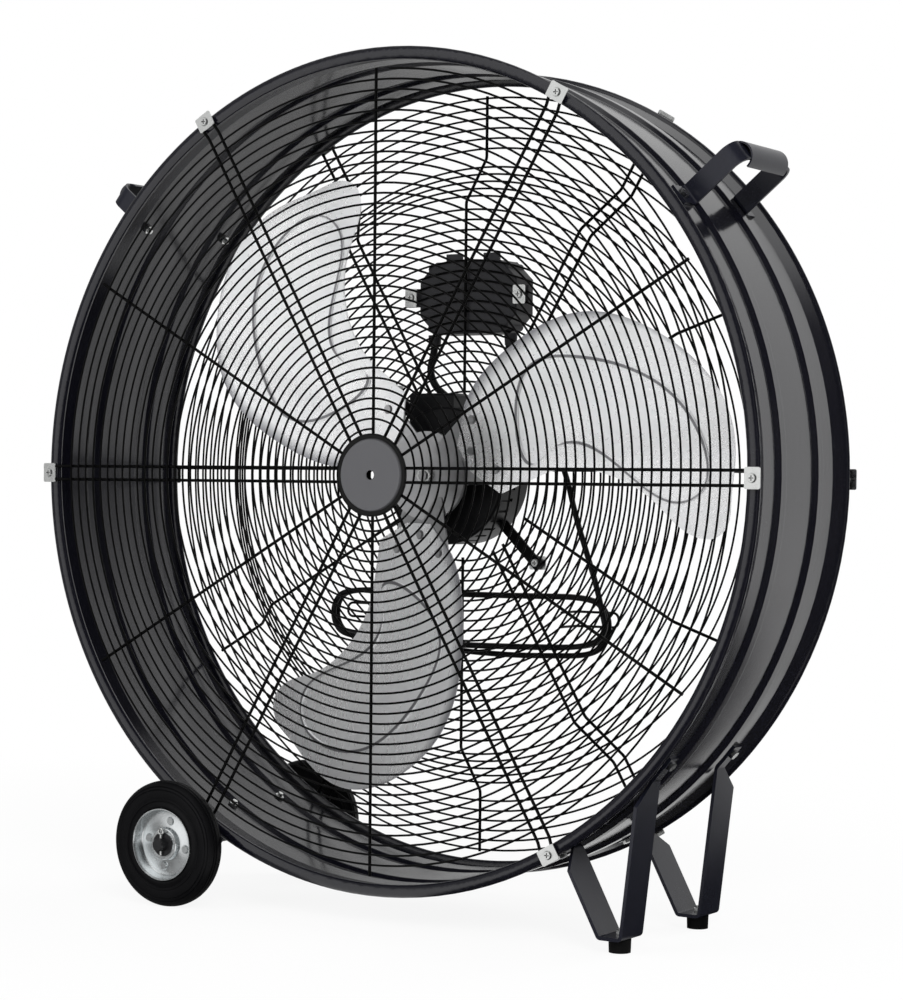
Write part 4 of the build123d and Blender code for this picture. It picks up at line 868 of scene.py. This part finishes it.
spiral = []
turn_top = spiral_start
for count in range(spiral_turns):
    small = spiral_start + count * spiral_pitch
    large = small + spiral_pitch / 2
    spiral += arc_points(turn_top - small, small, 90, 180, half_circle_steps, spiral_y)
    turn_bottom = turn_top - 2 * small
    spiral += arc_points(turn_bottom + large, large, 270, 180, half_circle_steps, spiral_y)
    turn_top = turn_bottom + 2 * large
front_wires = round_wires("front_guard_wire", [spiral], False)
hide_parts("front_guard_rings")
ride_with(front_wires, "root")
give(front_wires, guard_paint)

# %% [markdown]
# ## The rear rings
# The rear guard has separate rings on the rear side of its spokes: a flat sunk middle, a slanting
# part and a flat border. On the slant, the rings are offset at right angles to the spokes.

# %% Rear rings
ring_pitch = 0.012
weld_offset = 0.0029  # from a spoke's middle to a ring's middle
middle_start, middle_y, middle_count = 0.101, 0.0789, 19
slant_start, slant_end, slant_count = Vector((0.326, 0.076)), Vector((0.382, 0.1213)), 5
border_start, border_y, border_count = 0.454, 0.1242, 6

rings = [(middle_start + ring_pitch * step, middle_y) for step in range(middle_count)]
slant = (slant_end - slant_start).normalized()
for step in range(1, slant_count + 1):
    radius, depth = slant_start + slant * ring_pitch * step
    rings.append((radius - slant.y * weld_offset, depth + slant.x * weld_offset))
rings += [(border_start - ring_pitch * step, border_y) for step in range(border_count)]

ring_steps = 180
ring_paths = [arc_points(0, radius, 0, 360, ring_steps, depth) for radius, depth in rings]
rear_wires = round_wires("rear_guard_wires", ring_paths, True)
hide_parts("rear_guard_rings")
ride_with(rear_wires, "root")
give(rear_wires, guard_paint)

# %% [markdown]
# ## The sleeve on the power cord
# Where the cord leaves the box, a tapered rubber sleeve with shallow rings spreads its bend.

# %% Cord sleeve
sleeve_rings = 7
sleeve_pitch = 0.0048
sleeve_radius = 0.0062
sleeve_taper = 0.0003
sleeve_groove = 0.0008
ring_end, groove_start, groove_end = 0.0026, 0.0030, 0.0044  # from the start of a ring
sleeve_bore = cord_radius + 0.0001
sleeve_edge = 0.001
sleeve_section = [(sleeve_bore, 0.0), (sleeve_radius, 0.0)]
for ring in range(sleeve_rings):
    start = sleeve_edge + ring * sleeve_pitch
    radius = sleeve_radius - sleeve_taper * ring
    sleeve_section += [
        (radius, start),
        (radius, start + ring_end),
        (radius - sleeve_groove, start + groove_start),
        (radius - sleeve_groove, start + groove_end),
    ]
sleeve_section += [(sleeve_bore, sleeve_edge + sleeve_rings * sleeve_pitch)]
gland_length = 0.0141  # the sleeve starts where the nut round the cord ends
sleeve_top = Vector(cord_route[0]) - Vector((0, 0, gland_length))
sleeve = finished(turned(sleeve_section, sleeve_top, (0, 0, -1), steps=40), "cord_sleeve")
ride_with(sleeve, "root")
give(sleeve, cord_rubber)

# %% [markdown]
# ## The studio walls
# Black paint and bare metal are seen by what they mirror. A photographer sets light and dark panels
# round such an object, and here a ramp round the compass does the same for reflections. Bearing 0
# is behind the fan and 90 on its right. The camera still sees plain white.

# %% Walls
panel_shades = [  # bearing in degrees, brightness
    (-180, 1.0),
    (-144, 1.0),
    (-133, 0.18),
    (-95, 0.25),
    (-60, 0.25),
    (-40, 0.45),
    (-15, 0.95),
    (36, 1.0),
    (43, 0.04),
    (98, 0.02),
    (104, 0.4),
    (108, 0.4),
    (114, 0.02),
    (145, 0.04),
    (165, 0.9),
    (180, 1.0),
]
group = bpy.data.node_groups.new("studio walls", "ShaderNodeTree")
group.interface.new_socket("Direction", in_out="INPUT", socket_type="NodeSocketVector")
group.interface.new_socket("Shade", in_out="OUTPUT", socket_type="NodeSocketColor")
walls = Network(group)
direction = walls.node("NodeGroupInput")
east = walls.node("ShaderNodeSeparateXYZ", inputs={0: direction}, output="X")
north = walls.node("ShaderNodeSeparateXYZ", inputs={0: direction}, output="Y")
bearing = walls.node("ShaderNodeMath", {"operation": "ARCTAN2"}, {0: east, 1: north})
compass = walls.ramp(bearing, -math.pi, math.pi)
shades = [(degrees / 360 + 0.5, shade) for degrees, shade in panel_shades]
panels = walls.node("ShaderNodeValToRGB", {"stops": shades}, {0: compass})
walls.feed(group.nodes.new("NodeGroupOutput").inputs[0], panels)
print("wall panels:", len(panel_shades))

# %% [markdown]
# ## The floor
# The floor is pale and takes the fan's shadow. For the camera a white glow is laid over it, nearly
# all of it near the fan and all of it further off, so that the floor meets the background without
# a line. For reflections it continues the walls.

# %% Floor
floor_size = 20
shadow_end, white_start = 0.7, 1.8  # metres from the middle of the floor
near_glow = 0.90  # share of white near the fan; the rest shows its shadow

floor_mesh = bpy.data.meshes.new("floor")
shape = bmesh.new()
bmesh.ops.create_grid(shape, x_segments=1, y_segments=1, size=floor_size)
shape.to_mesh(floor_mesh)
shape.free()
floor = bpy.data.objects.new("floor", floor_mesh)
bpy.context.scene.collection.objects.link(floor)

floor_finish = Finish("pale floor")
floor_finish.set(Base_Color=(0.92, 0.92, 0.92, 1), Roughness=0.9, Specular_IOR_Level=0.0)
seen = floor_finish.node("ShaderNodeLightPath", output="Is Camera Ray")
mirrored = floor_finish.node("ShaderNodeLightPath", output="Is Glossy Ray")
far_off = floor_finish.ramp(floor_finish.length(floor_finish.place), shadow_end, white_start)
wall_shade = floor_finish.node("ShaderNodeGroup", {"node_tree": group}, {0: floor_finish.place})
glow_colour = floor_finish.blend(1 - mirrored, wall_shade, (1, 1, 1))
glow = floor_finish.node("ShaderNodeEmission", inputs={"Color": glow_colour, "Strength": 1.0})
pale = Signal(floor_finish, floor_finish.shader.outputs["BSDF"])
glowing = seen * (far_off * (1 - near_glow) + near_glow) + mirrored
mixed = floor_finish.node("ShaderNodeMixShader", inputs={0: glowing, 1: pale, 2: glow})
floor_finish.feed(floor_finish.surface, mixed)
give(floor, floor_finish)

# %% [markdown]
# ## The surround and the lamps
# As a light the surround is dimmer than white, so that three large soft lamps can model the shapes:
# one from the front right, one from the front left and one from behind. The lamps aren't mirrored,
# because the walls are.

# %% Surround
world = bpy.data.worlds.new("studio")
bpy.context.scene.world = world
world.use_nodes = True
surround = Network(world.node_tree)
surround_light = 0.55  # where 1 is white
white = (1, 1, 1, 1)
looking = surround.node("ShaderNodeTexCoord", output="Generated")
mirrored_wall = surround.node("ShaderNodeGroup", {"node_tree": group}, {0: looking})
lighting = surround.node(
    "ShaderNodeBackground", inputs={"Color": white, "Strength": surround_light}
)
reflected = surround.node(
    "ShaderNodeBackground", inputs={"Color": mirrored_wall, "Strength": 1.0}
)
backdrop = surround.node("ShaderNodeBackground", inputs={"Color": white, "Strength": 1.0})
is_glossy = surround.node("ShaderNodeLightPath", output="Is Glossy Ray")
is_camera = surround.node("ShaderNodeLightPath", output="Is Camera Ray")
unseen = surround.node("ShaderNodeMixShader", inputs={0: is_glossy, 1: lighting, 2: reflected})
whole = surround.node("ShaderNodeMixShader", inputs={0: is_camera, 1: unseen, 2: backdrop})
surround.feed(surround.tree.nodes.new("ShaderNodeOutputWorld").inputs["Surface"], whole)
print("surround nodes:", len(surround.tree.nodes))


# %% Lamps
def soft_lamp(name, place, size, watts):
    """A large square lamp that faces the middle of the fan."""
    light = bpy.data.lights.new(name, "AREA")
    light.shape = "SQUARE"
    light.size = size
    light.energy = watts
    lamp = bpy.data.objects.new(name, light)
    bpy.context.scene.collection.objects.link(lamp)
    facing = (Vector((0, 0, axis_height)) - Vector(place)).to_track_quat("-Z", "Y")
    lamp.matrix_world = Matrix.Translation(place) @ facing.to_matrix().to_4x4()
    lamp.visible_glossy = False
    print(name, watts, "W")


soft_lamp("key lamp", (2.4, -2.6, 2.4), 1.6, 95)
soft_lamp("fill lamp", (-1.6, -3.4, 1.4), 1.8, 55)
soft_lamp("back lamp", (1.2, 2.8, 1.8), 1.6, 40)
bpy.context.scene.view_settings.view_transform = "Standard"
